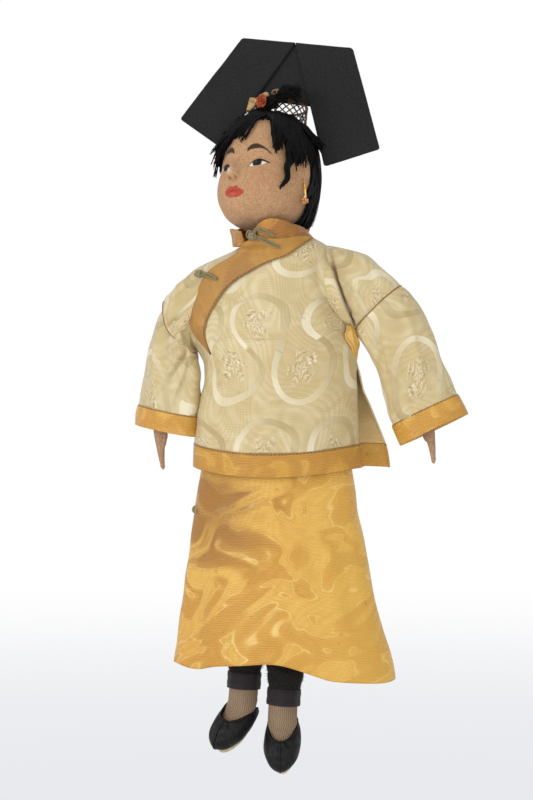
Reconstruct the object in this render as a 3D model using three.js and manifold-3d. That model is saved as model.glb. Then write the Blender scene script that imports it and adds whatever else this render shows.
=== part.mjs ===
// Cloth doll in a silk jacket, watered-silk skirt and board headdress, built from its sewn pieces.
// Millimetres, +Z up. The doll faces -Y and its own left is +X. The origin is the middle of the
// waist, where the ring of a doll stand holds it. Left and right are always the doll's own.
import * as THREE from 'three';
import { mergeVertices } from 'three/addons/utils/BufferGeometryUtils.js';
import Module from 'manifold-3d';

const wasm = await Module();
wasm.setup();
const { Vector2, Vector3 } = THREE;
const rad = THREE.MathUtils.degToRad;
const sides = { left: 1, right: -1 };

// Cloth and fits
const cloth = 1.2; // wall of a lined garment
const trim = 0.9; // wall of a sewn-on band
const gap = 0.3; // between pieces that are sewn together or lie on each other
const lift = 0.6; // of a flat band above the faceted cloth that it is sewn to
const ease = 0.8; // between the stuffed body and what is worn next to it

// Stuffed body
const torsoTop = 74;
const torsoBottom = -48;
const chestHalf = 27.5;
const waistHalf = 26.5;
const hipHalf = 29.5;
const hipRise = 20; // of the widest part of the hips above the torso's end
const torsoFlatness = 0.62; // depth of the torso as a share of its width
const neckRadius = 5.8;
const neckBall = 8;
const neckPivot = new Vector3(-5, 3, 87);

// Arms
const shoulderPivot = new Vector3(31.5, 0, 50);
const armRadius = 7;
const elbowRadius = 6.3;
const wristRadius = 4.4;
const upperArmLength = 27;
const forearmLength = 50;
const handLength = 24;
const elbowTaper = 50; // half angle of the stitched-off ends that let the elbow fold
const armPose = {
  left: { upper: 58, lower: 25.5, twist: 0 },
  right: { upper: 58, lower: 9, twist: 30 },
};

// Legs and feet
const hipPivot = new Vector3(11.5, 0, -50);
const thighRadius = 9;
const shinRadius = 6;
const ankleBall = 5.8;
const ankleReach = 6; // of the ankle below the trouser hem
const legPose = {
  left: { length: 119.5, lean: 3.6, forward: 2 },
  right: { length: 111.5, lean: 3, forward: 2 },
};
const footPose = {
  left: { point: 58, flop: -4, toeOut: 8 },
  right: { point: 58, flop: 18, toeOut: -20 },
};
const footHalfWidth = 8.2;
const footHalfLength = 18.5;
const footHalfHeight = 6.8;
const footForward = 12; // from the ankle to the middle of the foot
const footDrop = 7; // from the ankle down to the middle of the foot
const soleThickness = 2.2;
const soleRise = 1.5; // of the sole's top above the lowest point of the foot
const soleMargin = 1; // of the sole past the shoe
const throatHalfWidth = 7.4;
const throatHalfLength = 13.5;
const throatForward = 5.5;

// Head, in its own frame: +Z up through the crown, facing -Y
const headPlace = new Vector3(-6, 4, 113);
const headLean = -18;
const headTurn = -25;
const headHalfHeight = 30;
const cheekRadius = 22.8;
const headDepth = 1.06; // depth of the head as a share of its width
const hairThickness = 2.6;
const hairBackThickness = 3.4;
const hairline = 13;
const napeHeight = -16;
const earHeight = -4;
const earBack = 2.5;
const lobeHeight = -9.5;
const lobeBack = 0.5;
const lobeOut = 1.9; // of the hook outside the cheek

// Headdress boards: each wing is a strip folded down from the top edge
const boardThickness = 2;
const boardPlace = new Vector3(8.4, 4.1, headHalfHeight + 40.5); // in the head's frame
const boardTurn = -10;
const boardLean = -12;
const boardRoll = 8.5;
const wings = {
  left: { top: 33.2, tip: new Vector2(61.2, -48.5), foot: new Vector2(32.4, -61.6) },
  right: { top: 31.6, tip: new Vector2(57.3, -47), foot: new Vector2(29.4, -59.4) },
}; // width along the top edge and the two lower corners
const cornerRadius = 2.5;
const backingHalf = 19;
const backingDepth = 34;
const netRadius = 11;
const netWire = 0.9;
const netCells = 12;
const netTop = headHalfHeight + 8.5;
const netPlace = new Vector2(2.5, 7.5);

// Jacket
const neckline = 74;
const shoulderTop = 70;
const chestLine = 50;
const armpit = 21;
const jacketHem = -44;
const hemBand = 12.5;
const armholeHalf = 10.5; // half of the armhole, front to back
const armholeTuck = 3; // of the sleeve's front and back towards the body
const neckHalf = 20;
const shoulderHalf = 26;
const sleeveHalf = 19.4;
const cuffHalf = 20.6;
const sleeveDepth = 10.5;
const sleeveLength = 58; // from the sleeve seam to the edge of the cuff
const cuffBand = 10;
const lapelBand = 12;
const collarRadius = 19.4;
const collarHeight = 11;
const collarDip = 4; // of the collar's top edge at the front, below the chin
const collarPlace = new Vector2(-3.5, 0);
const collarOpening = 3; // half angle of the gap at the front
const jacketWidths = [
  [jacketHem, 44.5, 29],
  [0, 42.8, 25.5],
  [armpit, 42.5, 23.5],
  [chestLine, 33.5, 20.5],
  [shoulderTop, shoulderHalf, 17.5],
  [neckline, neckHalf, 16],
];

// Skirt and trousers
const waistbandTop = 8;
const waistbandHeight = 9;
const skirtHem = -146;
const hemSlope = 0.085; // fall of the skirt's hem towards the doll's left
const fluteDepth = 1.6;
const flutes = 5;
const waistHalfDepth = waistHalf * torsoFlatness;
const seatRise = 3;
const seatHem = -46.5;
const bandHeight = 8;
const skirtTop = waistbandTop - waistbandHeight - gap;
const skirtWidths = [
  [skirtHem, 55, 38],
  [jacketHem, 40.5, 25.4],
  [skirtTop, waistHalf + 4, waistHalfDepth + 4],
];

// Frog buttons and jewellery
const knotRadius = 2.3;
const frogCord = 0.8;
const knotHeight = -64; // of the knot on the skirt's right side
const hookWire = 0.55;
const hookDrop = 7;
const beadRadius = 1.9;
const petalRadius = 2.6;
const petals = 5;

// Facets
const round = 12;
const panelColumns = 12;
const skirtColumns = 22;

const finish = (color, roughness, metalness = 0) =>
  new THREE.MeshStandardMaterial({ color, roughness, metalness });
const materials = {
  skin: finish(0xb98f6a, 0.95),
  muslin: finish(0xd8cbb0, 0.95),
  hair: finish(0x14120f, 0.6),
  board: finish(0x242323, 0.85),
  wire: finish(0x4a3a28, 0.6, 0.3),
  ivory: finish(0xd9c896, 0.45),
  gold: finish(0xd9a036, 0.45),
  knot: finish(0xa9a06a, 0.7),
  black: finish(0x161415, 0.9),
  ribbon: finish(0x2e2427, 0.8),
  stocking: finish(0xa68c70, 0.85),
  leather: finish(0x171515, 0.4),
  sole: finish(0xdfcfa4, 0.8),
  brass: finish(0xd8a24a, 0.3, 0.9),
  glass: finish(0xd9711f, 0.15),
  petal: finish(0xc2502c, 0.8),
  bamboo: finish(0xb8965c, 0.7),
};

// Solids and meshes

// A closed geometry as a solid whose faces point out.
function solid(geometry) {
  const bare = (geometry.index ? geometry.toNonIndexed() : geometry.clone());
  bare.deleteAttribute('normal');
  bare.deleteAttribute('uv');
  const merged = mergeVertices(bare, 1e-4);
  const corner = merged.index.array;
  const kept = [];
  for (let i = 0; i < corner.length; i += 3) {
    const [a, b, c] = [corner[i], corner[i + 1], corner[i + 2]];
    if (a !== b && b !== c && c !== a) kept.push(a, b, c);
  }
  const vertProperties = merged.attributes.position.array;
  const make = (triVerts) =>
    new wasm.Manifold(new wasm.Mesh({ numProp: 3, vertProperties, triVerts: new Uint32Array(triVerts) }));
  const made = make(kept);
  return made.volume() > 0 ? made : make(kept.reverse());
}

function geometryOf(shape) {
  const { numProp, vertProperties, triVerts } = shape.getMesh();
  const position = new Float32Array((vertProperties.length / numProp) * 3);
  for (let i = 0; i < position.length / 3; i++) {
    position.set(vertProperties.subarray(i * numProp, i * numProp + 3), i * 3);
  }
  const made = new THREE.BufferGeometry();
  made.setAttribute('position', new THREE.BufferAttribute(position, 3));
  made.setIndex(new THREE.BufferAttribute(new Uint32Array(triVerts), 1));
  made.computeVertexNormals();
  return made;
}

function piece(name, shape, material) {
  const made = new THREE.Mesh(geometryOf(shape), material);
  made.name = name;
  return made;
}

// Round forms

function ball(radius, place = new Vector3(), facets = round) {
  return solid(new THREE.SphereGeometry(radius, facets, Math.ceil(facets / 2)).translate(...place));
}

// An ellipsoid of three half sizes.
function pebble(halves, place, facets = round) {
  const made = new THREE.SphereGeometry(1, facets, Math.ceil(facets / 2)).rotateX(Math.PI / 2);
  return solid(made.scale(...halves).translate(...place));
}

function box(low, high) {
  const size = new Vector3().subVectors(high, low);
  const middle = new Vector3().addVectors(low, high).multiplyScalar(0.5);
  return solid(new THREE.BoxGeometry(...size).translate(...middle));
}

// A stuffed form turned about Z from [radius, height] points, then flattened front to back.
function stuffed(outline, flatness = 1, facets = round) {
  const curve = new THREE.SplineCurve(outline.map(([radius, height]) => new Vector2(radius, height)));
  const steps = 2 * (outline.length - 1);
  const points = curve.getPoints(steps).map((p) => new Vector2(Math.max(p.x, 0), p.y));
  points[0].x = 0;
  points[steps].x = 0;
  return solid(new THREE.LatheGeometry(points, facets).rotateX(Math.PI / 2).scale(1, flatness, 1));
}

// A round bar between two points.
function bar(from, to, radius, facets = 6) {
  const run = new Vector3().subVectors(to, from);
  const made = new THREE.CylinderGeometry(radius, radius, run.length(), facets);
  made.translate(0, run.length() / 2, 0);
  made.applyQuaternion(new THREE.Quaternion().setFromUnitVectors(new Vector3(0, 1, 0), run.normalize()));
  return solid(made.translate(...from));
}

// A bent cord through points.
function cordOf(points, radius, steps = 8, facets = 6) {
  const section = new THREE.Shape().absarc(0, 0, radius, 0, 2 * Math.PI);
  const extrudePath = new THREE.CatmullRomCurve3(points);
  const options = { steps, extrudePath, curveSegments: facets / 2, bevelEnabled: false };
  return solid(new THREE.ExtrudeGeometry(section, options));
}

function union(shapes) {
  return shapes.reduce((sum, next) => sum.add(next));
}

// Cloth forms

// Half-width and half-depth at a height, smoothly through rows of [height, halfWidth, halfDepth].
function girths(rows) {
  const sorted = [...rows].sort((a, b) => a[0] - b[0]);
  const heights = sorted.map((row) => row[0]);
  const curve = new THREE.CubicInterpolant(heights, sorted.flatMap((row) => row.slice(1)), 2);
  return (height) => {
    const [halfWidth, halfDepth] = curve.evaluate(height);
    return { halfWidth, halfDepth };
  };
}

// A cloth wall between two grids of points, outer[row][column] and inner[row][column].
function wall(outer, inner, closedRound) {
  const rows = outer.length;
  const columns = outer[0].length;
  const points = [...outer.flat(), ...inner.flat()];
  const at = (layer, row, column) => (layer * rows + row) * columns + (column % columns);
  const index = [];
  const quad = (a, b, c, d) => index.push(a, b, c, a, c, d);
  const spans = closedRound ? columns : columns - 1;
  for (let row = 0; row < rows - 1; row++) {
    for (let column = 0; column < spans; column++) {
      const next = column + 1;
      quad(at(0, row, column), at(0, row, next), at(0, row + 1, next), at(0, row + 1, column));
      quad(at(1, row, column), at(1, row + 1, column), at(1, row + 1, next), at(1, row, next));
    }
  }
  for (let column = 0; column < spans; column++) {
    const next = column + 1;
    quad(at(0, 0, column), at(1, 0, column), at(1, 0, next), at(0, 0, next));
    quad(at(0, rows - 1, column), at(0, rows - 1, next), at(1, rows - 1, next), at(1, rows - 1, column));
  }
  for (let row = 0; row < rows - 1 && !closedRound; row++) {
    const last = columns - 1;
    quad(at(0, row, 0), at(0, row + 1, 0), at(1, row + 1, 0), at(1, row, 0));
    quad(at(0, row, last), at(1, row, last), at(1, row + 1, last), at(0, row + 1, last));
  }
  const made = new THREE.BufferGeometry();
  made.setAttribute('position', new THREE.Float32BufferAttribute(points.flatMap((p) => p.toArray()), 3));
  made.setIndex(index);
  return solid(made);
}

const steps = (count, make) => Array.from({ length: count + 1 }, (_, i) => make(i / count));
const turns = (count, make) => Array.from({ length: count }, (_, i) => make((2 * Math.PI * i) / count));
const rising = (low, high, share) => low + (high - low) * share;

// A point on an upright oval wall: angle 0 is the front, positive towards the doll's left.
function onOval({ halfWidth, halfDepth }, angle, height, out = 0) {
  const normal = new Vector2(Math.sin(angle) * halfDepth, -Math.cos(angle) * halfWidth).normalize();
  const x = halfWidth * Math.sin(angle) + out * normal.x;
  const y = -halfDepth * Math.cos(angle) + out * normal.y;
  return new Vector3(x, y, height);
}

// An upright tube of cloth between two heights, its outside at the given girths.
function tube(girth, low, high, thickness, rowCount, columns = round, shape = (point) => point) {
  const grid = (out) =>
    steps(rowCount, (share) => {
      const height = rising(low, high, share);
      const oval = girth(height);
      return turns(columns, (angle) => shape(onOval(oval, angle, height, out), angle));
    });
  return wall(grid(0), grid(-thickness), true);
}

// Body

function makeTorso() {
  const shoulder = rising(shoulderPivot.z, torsoTop, 0.4);
  const body = stuffed(
    [
      [0, torsoBottom],
      [0.7 * hipHalf, torsoBottom + 0.5],
      [0.97 * hipHalf, torsoBottom + 10],
      [hipHalf, torsoBottom + hipRise],
      [waistHalf, 0],
      [chestHalf, armpit + 4],
      [0.95 * chestHalf, shoulderPivot.z - 5],
      [0.94 * chestHalf, shoulder],
      [shoulderHalf - cloth - gap, shoulderTop - 0.5],
      [0.5 * chestHalf, torsoTop - 1.2],
      [neckRadius + 2.5, torsoTop - 0.3],
      [0, torsoTop],
    ],
    torsoFlatness,
  );
  const mirrored = (place, side) => new Vector3(side * place.x, place.y, place.z);
  const sockets = Object.values(sides).flatMap((side) => [
    ball(armRadius + 2 * gap, mirrored(shoulderPivot, side)),
    ball(thighRadius + ease + 2 * gap, mirrored(hipPivot, side)),
  ]);
  return piece('torso', sockets.reduce((left, socket) => left.subtract(socket), body), materials.muslin);
}

function makeNeck() {
  const foot = new Vector3(neckPivot.x, neckPivot.y, torsoTop + gap);
  const stem = bar(foot, neckPivot, neckRadius, round);
  return piece('neck', stem.add(ball(neckBall, neckPivot)), materials.muslin);
}

// Head and hair, in the head's frame

// The head's own form, or the same form grown by a margin.
function headForm(margin = 0) {
  const wide = 1 + margin / cheekRadius;
  const tall = 1 + margin / headHalfHeight;
  const outline = [
    [0, -1],
    [0.46, -0.95],
    [0.8, -0.775],
    [0.97, -0.53],
    [1.02, -0.14],
    [0.99, 0.27],
    [0.85, 0.64],
    [0.5, 0.9],
    [0, 1],
  ];
  return stuffed(
    outline.map(([r, h]) => [r * cheekRadius * wide, h * headHalfHeight * tall]),
    headDepth,
    round + 6,
  );
}

function makeHead(socket) {
  const front = -cheekRadius * headDepth;
  const nose = pebble(new Vector3(3.2, 3.4, 3.6), new Vector3(0, front + 1.2, -4.5), 12);
  const ears = Object.values(sides).map((side) =>
    pebble(new Vector3(1.8, 4.2, 7), new Vector3(side * (cheekRadius - 0.4), earBack, earHeight), 12),
  );
  const form = union([headForm(), nose, ...ears]);
  return piece('head', form.subtract(ball(neckBall + ease, socket)), materials.skin);
}

function makeHair(head) {
  const wide = 60;
  const solidHead = solid(head.geometry);
  const clear = headForm(gap).add(solidHead);
  const back = earBack + 4;
  const kept = box(new Vector3(-wide, -wide, hairline), new Vector3(wide, wide, wide))
    .add(box(new Vector3(-wide, back, 0), new Vector3(wide, wide, wide)));
  const cap = headForm(gap + hairThickness).intersect(kept).subtract(clear);
  const capClear = headForm(2 * gap + hairThickness).intersect(kept).add(clear);

  const behind = headForm(gap + hairBackThickness);
  const curtainGirth = () => ({
    halfWidth: cheekRadius + gap + hairBackThickness,
    halfDepth: cheekRadius * headDepth + gap + hairBackThickness,
  });
  const curtainTop = earHeight + 4;
  const curtain = tube(curtainGirth, napeHeight, curtainTop, hairBackThickness, 2, skirtColumns)
    .add(behind.intersect(box(new Vector3(-wide, -wide, napeHeight), new Vector3(wide, wide, curtainTop))))
    .intersect(box(new Vector3(-wide, back + gap, -wide), new Vector3(wide, wide, -gap)))
    .subtract(clear);

  const fringeCut = box(new Vector3(-11, -wide, hairline - 5), new Vector3(9, -8, hairline - gap));
  const fringe = headForm(gap + 1.6).intersect(fringeCut).subtract(clear);

  const lockOf = (side, long, deep) => {
    const place = new Vector3(side * (cheekRadius - 1.5), -8.5, hairline - gap - long);
    return pebble(new Vector3(4.4, deep, long), place, 14).subtract(capClear);
  };
  const tuftStart = new Vector3(1, -7.8, headHalfHeight + hairThickness + 1);
  const tuftMiddle = new Vector3(10, -7.2, headHalfHeight + hairThickness + 5);
  const tuftEnd = new Vector3(23, -6, headHalfHeight + hairThickness + 7);
  const tuft = cordOf([tuftStart, tuftMiddle, tuftEnd], 2.9, 6, 8).subtract(capClear);
  return {
    capClear,
    pieces: [
      piece('hair_cap', cap, materials.hair),
      piece('hair_back', curtain, materials.hair),
      piece('hair_fringe', fringe, materials.hair),
      piece('left_side_lock', lockOf(1, 13, 4), materials.hair),
      piece('right_side_lock', lockOf(-1, 10, 6), materials.hair),
      piece('hair_tuft', tuft, materials.hair),
    ],
  };
}

function makeOrnaments(capClear) {
  const seat = headHalfHeight + hairThickness + gap;
  const middle = new Vector3(3.9, -13.4, seat + 1.2);
  const flower = turns(petals, (angle) => {
    const place = new Vector3(Math.cos(angle), 0, Math.sin(angle)).multiplyScalar(petalRadius * 0.95);
    return pebble(new Vector3(petalRadius, 1.5, petalRadius), place.add(middle), 6);
  });
  const comb = cordOf(
    [
      new Vector3(-7.6, -10.5, seat - 7),
      new Vector3(-7.6, -11, seat + 1.5),
      new Vector3(-5, -12, seat + 3.6),
      new Vector3(-3.6, -12.2, seat - 5),
    ],
    1.5,
    8,
    4,
  );
  const heart = pebble(new Vector3(1.6, 2.4, 1.6), middle, 8);
  const stem = bar(middle, new Vector3(middle.x, middle.y + 3, seat - 8), 1);
  return [
    piece('hair_flower', union([heart, ...flower, stem]).subtract(capClear), materials.petal),
    piece('hair_comb', comb.subtract(capClear).decompose()[0], materials.bamboo),
  ];
}

// An earring, in a frame that hangs plumb from the lobe.
function makeEarring(side, name) {
  const hook = cordOf(
    [
      new Vector3(-side * 0.4, 0, 0.6),
      new Vector3(side * 0.9, 0, 0),
      new Vector3(side * 0.6, 0, -hookDrop / 2),
      new Vector3(0, 0, -hookDrop),
    ],
    hookWire,
    6,
    6,
  );
  const top = -hookDrop - gap - beadRadius;
  const beads = union([
    ball(beadRadius, new Vector3(0, 0, top), 10),
    ball(0.8 * beadRadius, new Vector3(0, 0.8 * beadRadius, top - 1.2 * beadRadius), 8),
    ball(0.8 * beadRadius, new Vector3(0, -0.8 * beadRadius, top - 1.2 * beadRadius), 8),
  ]);
  const group = new THREE.Group();
  group.add(
    piece(name + '_earring_hook', hook, materials.brass),
    piece(name + '_earring_beads', beads, materials.glass),
  );
  return group;
}

// Headdress, in the boards' frame: the top edge's middle is the origin, +X along it, +Z up

function board(corners, place) {
  const shape = new THREE.Shape();
  corners.forEach((corner, i) => {
    const before = corners[(i + corners.length - 1) % corners.length];
    const after = corners[(i + 1) % corners.length];
    const from = new Vector2().subVectors(before, corner).setLength(cornerRadius).add(corner);
    const to = new Vector2().subVectors(after, corner).setLength(cornerRadius).add(corner);
    if (i === 0) shape.moveTo(from.x, from.y);
    else shape.lineTo(from.x, from.y);
    shape.quadraticCurveTo(corner.x, corner.y, to.x, to.y);
  });
  const options = { depth: boardThickness, bevelEnabled: false, curveSegments: 3 };
  const made = new THREE.ExtrudeGeometry(shape, options);
  return solid(made.rotateX(Math.PI / 2).translate(...place));
}

function makeBoards() {
  const inset = gap / 2;
  const front = new Vector3(0, 0, 0);
  const behind = new Vector3(0, boardThickness + gap, 0);
  const wing = ({ top, tip, foot }, side) =>
    [new Vector2(inset, 0), new Vector2(top, 0), tip, foot.clone().add(new Vector2(inset, 0))]
      .map((corner) => new Vector2(side * corner.x, corner.y));
  const backing = [new Vector2(-4, -1), new Vector2(4, -1), new Vector2(backingHalf, -backingDepth),
    new Vector2(-backingHalf, -backingDepth)];
  return [
    piece('headdress_left_wing', board(wing(wings.left, 1), front), materials.board),
    piece('headdress_right_wing', board(wing(wings.right, -1), front), materials.board),
    piece('headdress_backing', board(backing, behind), materials.board),
  ];
}

// The wire net that carries the boards stands on the crown: a band pierced by two rows of diamonds.
function makeNet(capClear, boardsClear) {
  const low = headHalfHeight - 6;
  const cell = (2 * Math.PI * netRadius) / netCells;
  const diamond = 0.5 * (cell - netWire);
  const girth = () => ({ halfWidth: netRadius, halfDepth: netRadius });
  const rows = [netTop - netWire - diamond, netTop - netWire - diamond - cell / 2];
  const holes = rows.flatMap((height, row) =>
    turns(netCells, (angle) => {
      const hole = new THREE.CylinderGeometry(diamond, diamond, netRadius, 4).translate(0, -netRadius, 0);
      return solid(hole.rotateZ(angle + (row * Math.PI) / netCells).translate(0, 0, height));
    }),
  );
  const whole = tube(girth, low, netTop, netWire, 1, netCells);
  const band = holes.reduce((left, hole) => left.subtract(hole), whole);
  const placed = solid(geometryOf(band).translate(netPlace.x, netPlace.y, 0));
  const net = placed.subtract(capClear).subtract(boardsClear);
  const largest = net.decompose().sort((a, b) => b.volume() - a.volume())[0];
  return piece('headdress_net', largest, materials.wire);
}

function makeHeadGroup() {
  const group = new THREE.Group();
  group.position.copy(headPlace);
  group.rotation.set(rad(headLean), 0, rad(headTurn));
  group.updateMatrixWorld(true);
  const head = makeHead(group.worldToLocal(neckPivot.clone()));
  const { capClear, pieces } = makeHair(head);
  group.add(head, ...pieces, ...makeOrnaments(capClear));
  Object.entries(sides).forEach(([name, side]) => {
    const earring = makeEarring(side, name);
    const lobe = new Vector3(side * (cheekRadius + lobeOut), lobeBack, lobeHeight);
    earring.position.copy(group.localToWorld(lobe));
    earring.rotation.z = rad(headTurn);
    group.attach(earring);
  });

  const headdress = new THREE.Group();
  headdress.position.copy(group.localToWorld(boardPlace.clone()));
  headdress.rotation.set(rad(boardLean), rad(boardRoll), rad(boardTurn), 'ZXY');
  headdress.add(...makeBoards());
  group.attach(headdress);
  headdress.updateMatrix();
  const grown = headdress.children.map((part) => {
    const place = new THREE.Matrix4().multiply(headdress.matrix);
    const ways = [-gap, gap];
    const shift = ways.flatMap((x) => ways.flatMap((y) => ways.map((z) => new Vector3(x, y, z))));
    return union(shift.map((by) => solid(part.geometry.clone().translate(...by).applyMatrix4(place))));
  });
  group.add(makeNet(capClear, union(grown)));
  return group;
}

// Jacket

const jacketGirth = girths(jacketWidths);

// Distance of a panel's side edge from the middle plane: an oval armhole, and a seam elsewhere.
function panelEdge(height) {
  const middle = 0.5 * (shoulderTop + armpit);
  const share = (height - middle) / (shoulderTop - middle);
  return Math.max(gap, armholeHalf * Math.sqrt(Math.max(1 - share ** 2, 0)));
}

function panelRows(low, high) {
  const shares = [0, 0.05, 0.15, 0.32, 0.5, 0.68, 0.85, 0.95, 1];
  const armhole = shares.map((share) => rising(armpit, shoulderTop, share));
  return [low, 0.5 * (low + armpit), ...armhole, high];
}

function jacketPanel(side, low, high, rows = panelRows(low, high)) {
  const grid = (out) =>
    rows.map((height) => {
      const oval = jacketGirth(height);
      const reach = Math.acos(Math.min(panelEdge(height) / oval.halfDepth, 1));
      return steps(panelColumns, (share) => {
        const point = onOval(oval, rising(-reach, reach, share), height, out);
        return new Vector3(point.x, side * point.y, height);
      });
    });
  return wall(grid(0), grid(-cloth), false);
}

// The gold facing that runs from the doll's left neck, across the chest, to the right armhole.
function makeLapel() {
  const route = new THREE.CatmullRomCurve3([
    new Vector3(rad(46), neckline - 2.5, 0),
    new Vector3(rad(12), rising(shoulderTop, neckline, 0.1), 0),
    new Vector3(rad(-27), rising(chestLine, shoulderTop, 0.62), 0),
    new Vector3(rad(-45), rising(armpit, chestLine, 0.75), 0),
    new Vector3(rad(-49), armpit + 4, 0),
  ]);
  const across = [-0.5, -0.17, 0.17, 0.5];
  const grid = (out) =>
    steps(14, (share) => {
      const middle = route.getPoint(share);
      const run = route.getTangent(share);
      const oval = jacketGirth(middle.y);
      const arc = Math.hypot(oval.halfWidth * Math.cos(middle.x), oval.halfDepth * Math.sin(middle.x));
      const sideways = new Vector2(run.y, -run.x * arc).normalize();
      const narrow = rising(0.45, 1, Math.min(3 * share, 1));
      return across.map((place) => {
        const angle = middle.x + (sideways.x * place * lapelBand * narrow) / arc;
        const height = Math.min(middle.y + sideways.y * place * lapelBand * narrow, neckline);
        return onOval(jacketGirth(height), angle, height, out);
      });
    });
  return piece('lapel_facing', wall(grid(lift + trim), grid(lift), false), materials.gold);
}

function makeCollar() {
  const girth = (height) => ({
    halfWidth: collarRadius + 0.03 * (height - neckline),
    halfDepth: collarRadius + 0.03 * (height - neckline),
  });
  const low = neckline + lift;
  const grid = (out) =>
    steps(3, (share) => {
      const height = rising(low, low + collarHeight, share);
      return steps(skirtColumns, (turn) => {
        const angle = rising(rad(collarOpening), 2 * Math.PI - rad(collarOpening), turn);
        const drop = share * collarDip * Math.max(Math.cos(angle), 0);
        const point = onOval(girth(height), angle, height - drop, out);
        return point.add(new Vector3(collarPlace.x, collarPlace.y, 0));
      });
    });
  return piece('collar', wall(grid(0), grid(-trim), false), materials.gold);
}

// A knotted frog button: a round knot with two cord tails laid along the cloth.
function frog(name, knot, tails) {
  const cords = tails.map((tail) => {
    const middle = new Vector3().addVectors(knot, tail).multiplyScalar(0.5).add(new Vector3(0, -0.6, 0.8));
    return cordOf([knot, middle, tail], frogCord, 5, 6);
  });
  return piece(name, union([ball(knotRadius, knot, 10), ...cords]), materials.knot);
}

function makeFrogs() {
  const collarFront = collarPlace.y - collarRadius - gap - knotRadius;
  const neckKnot = new Vector3(collarPlace.x, collarFront, neckline + 4.5);
  const reaches = [new Vector3(8.5, 0.6, -4.6), new Vector3(4.5, 1, 3.2)];
  const neckTails = reaches.map((reach) => reach.add(neckKnot));
  const onChest = (angle, height) =>
    onOval(jacketGirth(height), rad(angle), height, lift + trim + gap + knotRadius);
  const chestKnot = onChest(-43, chestLine + 4);
  const chestTails = [onChest(-32, chestLine + 2.5), onChest(-50, chestLine + 3)];
  return [frog('frog_collar', neckKnot, neckTails), frog('frog_chest', chestKnot, chestTails)];
}

function makeJacket() {
  const band = jacketHem + hemBand;
  const hemRows = [jacketHem, 0.5 * (jacketHem + band), band - gap];
  return [
    piece('jacket_front', jacketPanel(1, band, neckline), materials.ivory),
    piece('jacket_back', jacketPanel(-1, band, neckline), materials.ivory),
    piece('hem_band_front', jacketPanel(1, jacketHem, band - gap, hemRows), materials.gold),
    piece('hem_band_back', jacketPanel(-1, jacketHem, band - gap, hemRows), materials.gold),
    makeLapel(),
    makeCollar(),
    ...makeFrogs(),
  ];
}

// Arms and sleeves

// An oval ring of points about a centre.
function ring(centre, long, short, halfLong, halfShort, count = round + 4) {
  return turns(count, (angle) =>
    centre
      .clone()
      .addScaledVector(long, halfLong * Math.cos(angle))
      .addScaledVector(short, halfShort * Math.sin(angle)),
  );
}

// Where the arm's upper part ends, in the body's frame.
function elbowOf(name) {
  const angle = rad(armPose[name].upper);
  return new Vector3(
    sides[name] * (shoulderPivot.x + upperArmLength * Math.sin(angle)),
    shoulderPivot.y,
    shoulderPivot.z - upperArmLength * Math.cos(angle),
  );
}

// The part of the sleeve that is cut in one with the jacket, from the armhole crease to the seam.
function makeUpperSleeve(name) {
  const side = sides[name];
  const creaseTop = new Vector2(jacketGirth(shoulderTop).halfWidth + 3 * lift, shoulderTop + 1.5);
  const creaseFoot = new Vector2(jacketGirth(armpit).halfWidth + 3 * lift, armpit);
  const crease = new Vector2().subVectors(creaseTop, creaseFoot);
  const creaseAngle = Math.atan2(crease.x, crease.y);
  const seamAngle = Math.PI / 2 - rad(armPose[name].upper);
  const elbow = elbowOf(name);
  const middle = new Vector2().addVectors(creaseTop, creaseFoot).multiplyScalar(0.5);
  const grid = (less) =>
    steps(5, (share) => {
      const angle = rising(creaseAngle, seamAngle, share);
      const long = new Vector3(side * Math.sin(angle), 0, Math.cos(angle));
      const twist = rad(armPose[name].twist) * share;
      const along = new Vector3(side * Math.cos(angle), 0, -Math.sin(angle));
      const turned = long.clone().applyAxisAngle(along, twist);
      const short = new Vector3().crossVectors(turned, along);
      const centre = new Vector3(side * middle.x, 0, middle.y).lerp(elbow, share);
      const halfLong = rising(0.5 * crease.length(), sleeveHalf, share);
      const oval = ring(centre, turned, short, halfLong - less, sleeveDepth - less);
      const tuck = armholeTuck * (1 - share);
      return oval.map((point) => point.addScaledVector(along, -tuck * (point.y / sleeveDepth) ** 2));
    });
  return piece(name + '_sleeve_upper', wall(grid(0), grid(cloth), true), materials.ivory);
}

// Sleeve and cuff below the seam, in the forearm's frame: the elbow is the origin, -Z to the hand.
function makeLowerSleeve(name) {
  const side = sides[name];
  const pose = armPose[name];
  const bend = rad(pose.upper - pose.lower);
  const band = sleeveLength - cuffBand;
  const rings = (low, high, rowCount, halfAt, less) =>
    steps(rowCount, (share) => {
      const down = rising(low, high, share);
      const tilt = bend * (1 - Math.min(down / band, 1)) ** 1.5;
      const along = new Vector3(side * Math.sin(tilt), 0, -Math.cos(tilt));
      const flat = new Vector3(side * Math.cos(tilt), 0, Math.sin(tilt));
      const long = flat.clone().applyAxisAngle(along, rad(pose.twist));
      const short = new Vector3().crossVectors(long, along);
      return ring(new Vector3(0, 0, -down), long, short, halfAt(share) - less, sleeveDepth - less);
    });
  const sleeveAt = (share) => rising(sleeveHalf, cuffHalf - 0.6, share);
  const cuffAt = () => cuffHalf;
  const start = (2 * gap) / Math.cos(bend);
  const sleeve = wall(rings(start, band, 5, sleeveAt, 0), rings(start, band, 5, sleeveAt, cloth), true);
  const cuffLow = band + gap;
  const cuffRings = (less) => rings(cuffLow, sleeveLength, 2, cuffAt, less);
  const cuff = wall(cuffRings(0), cuffRings(cloth), true);
  return [
    piece(name + '_sleeve_lower', sleeve, materials.ivory),
    piece(name + '_cuff', cuff, materials.gold),
  ];
}

function makeUpperArm() {
  const taper = elbowRadius / Math.tan(rad(elbowTaper));
  return stuffed(
    [
      [0, -upperArmLength + gap / 2],
      [elbowRadius, -upperArmLength + taper],
      [armRadius, -0.45 * upperArmLength],
      [armRadius, 0],
      [0.7 * armRadius, 0.7 * armRadius],
      [0, armRadius],
    ],
    1,
    10,
  );
}

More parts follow.
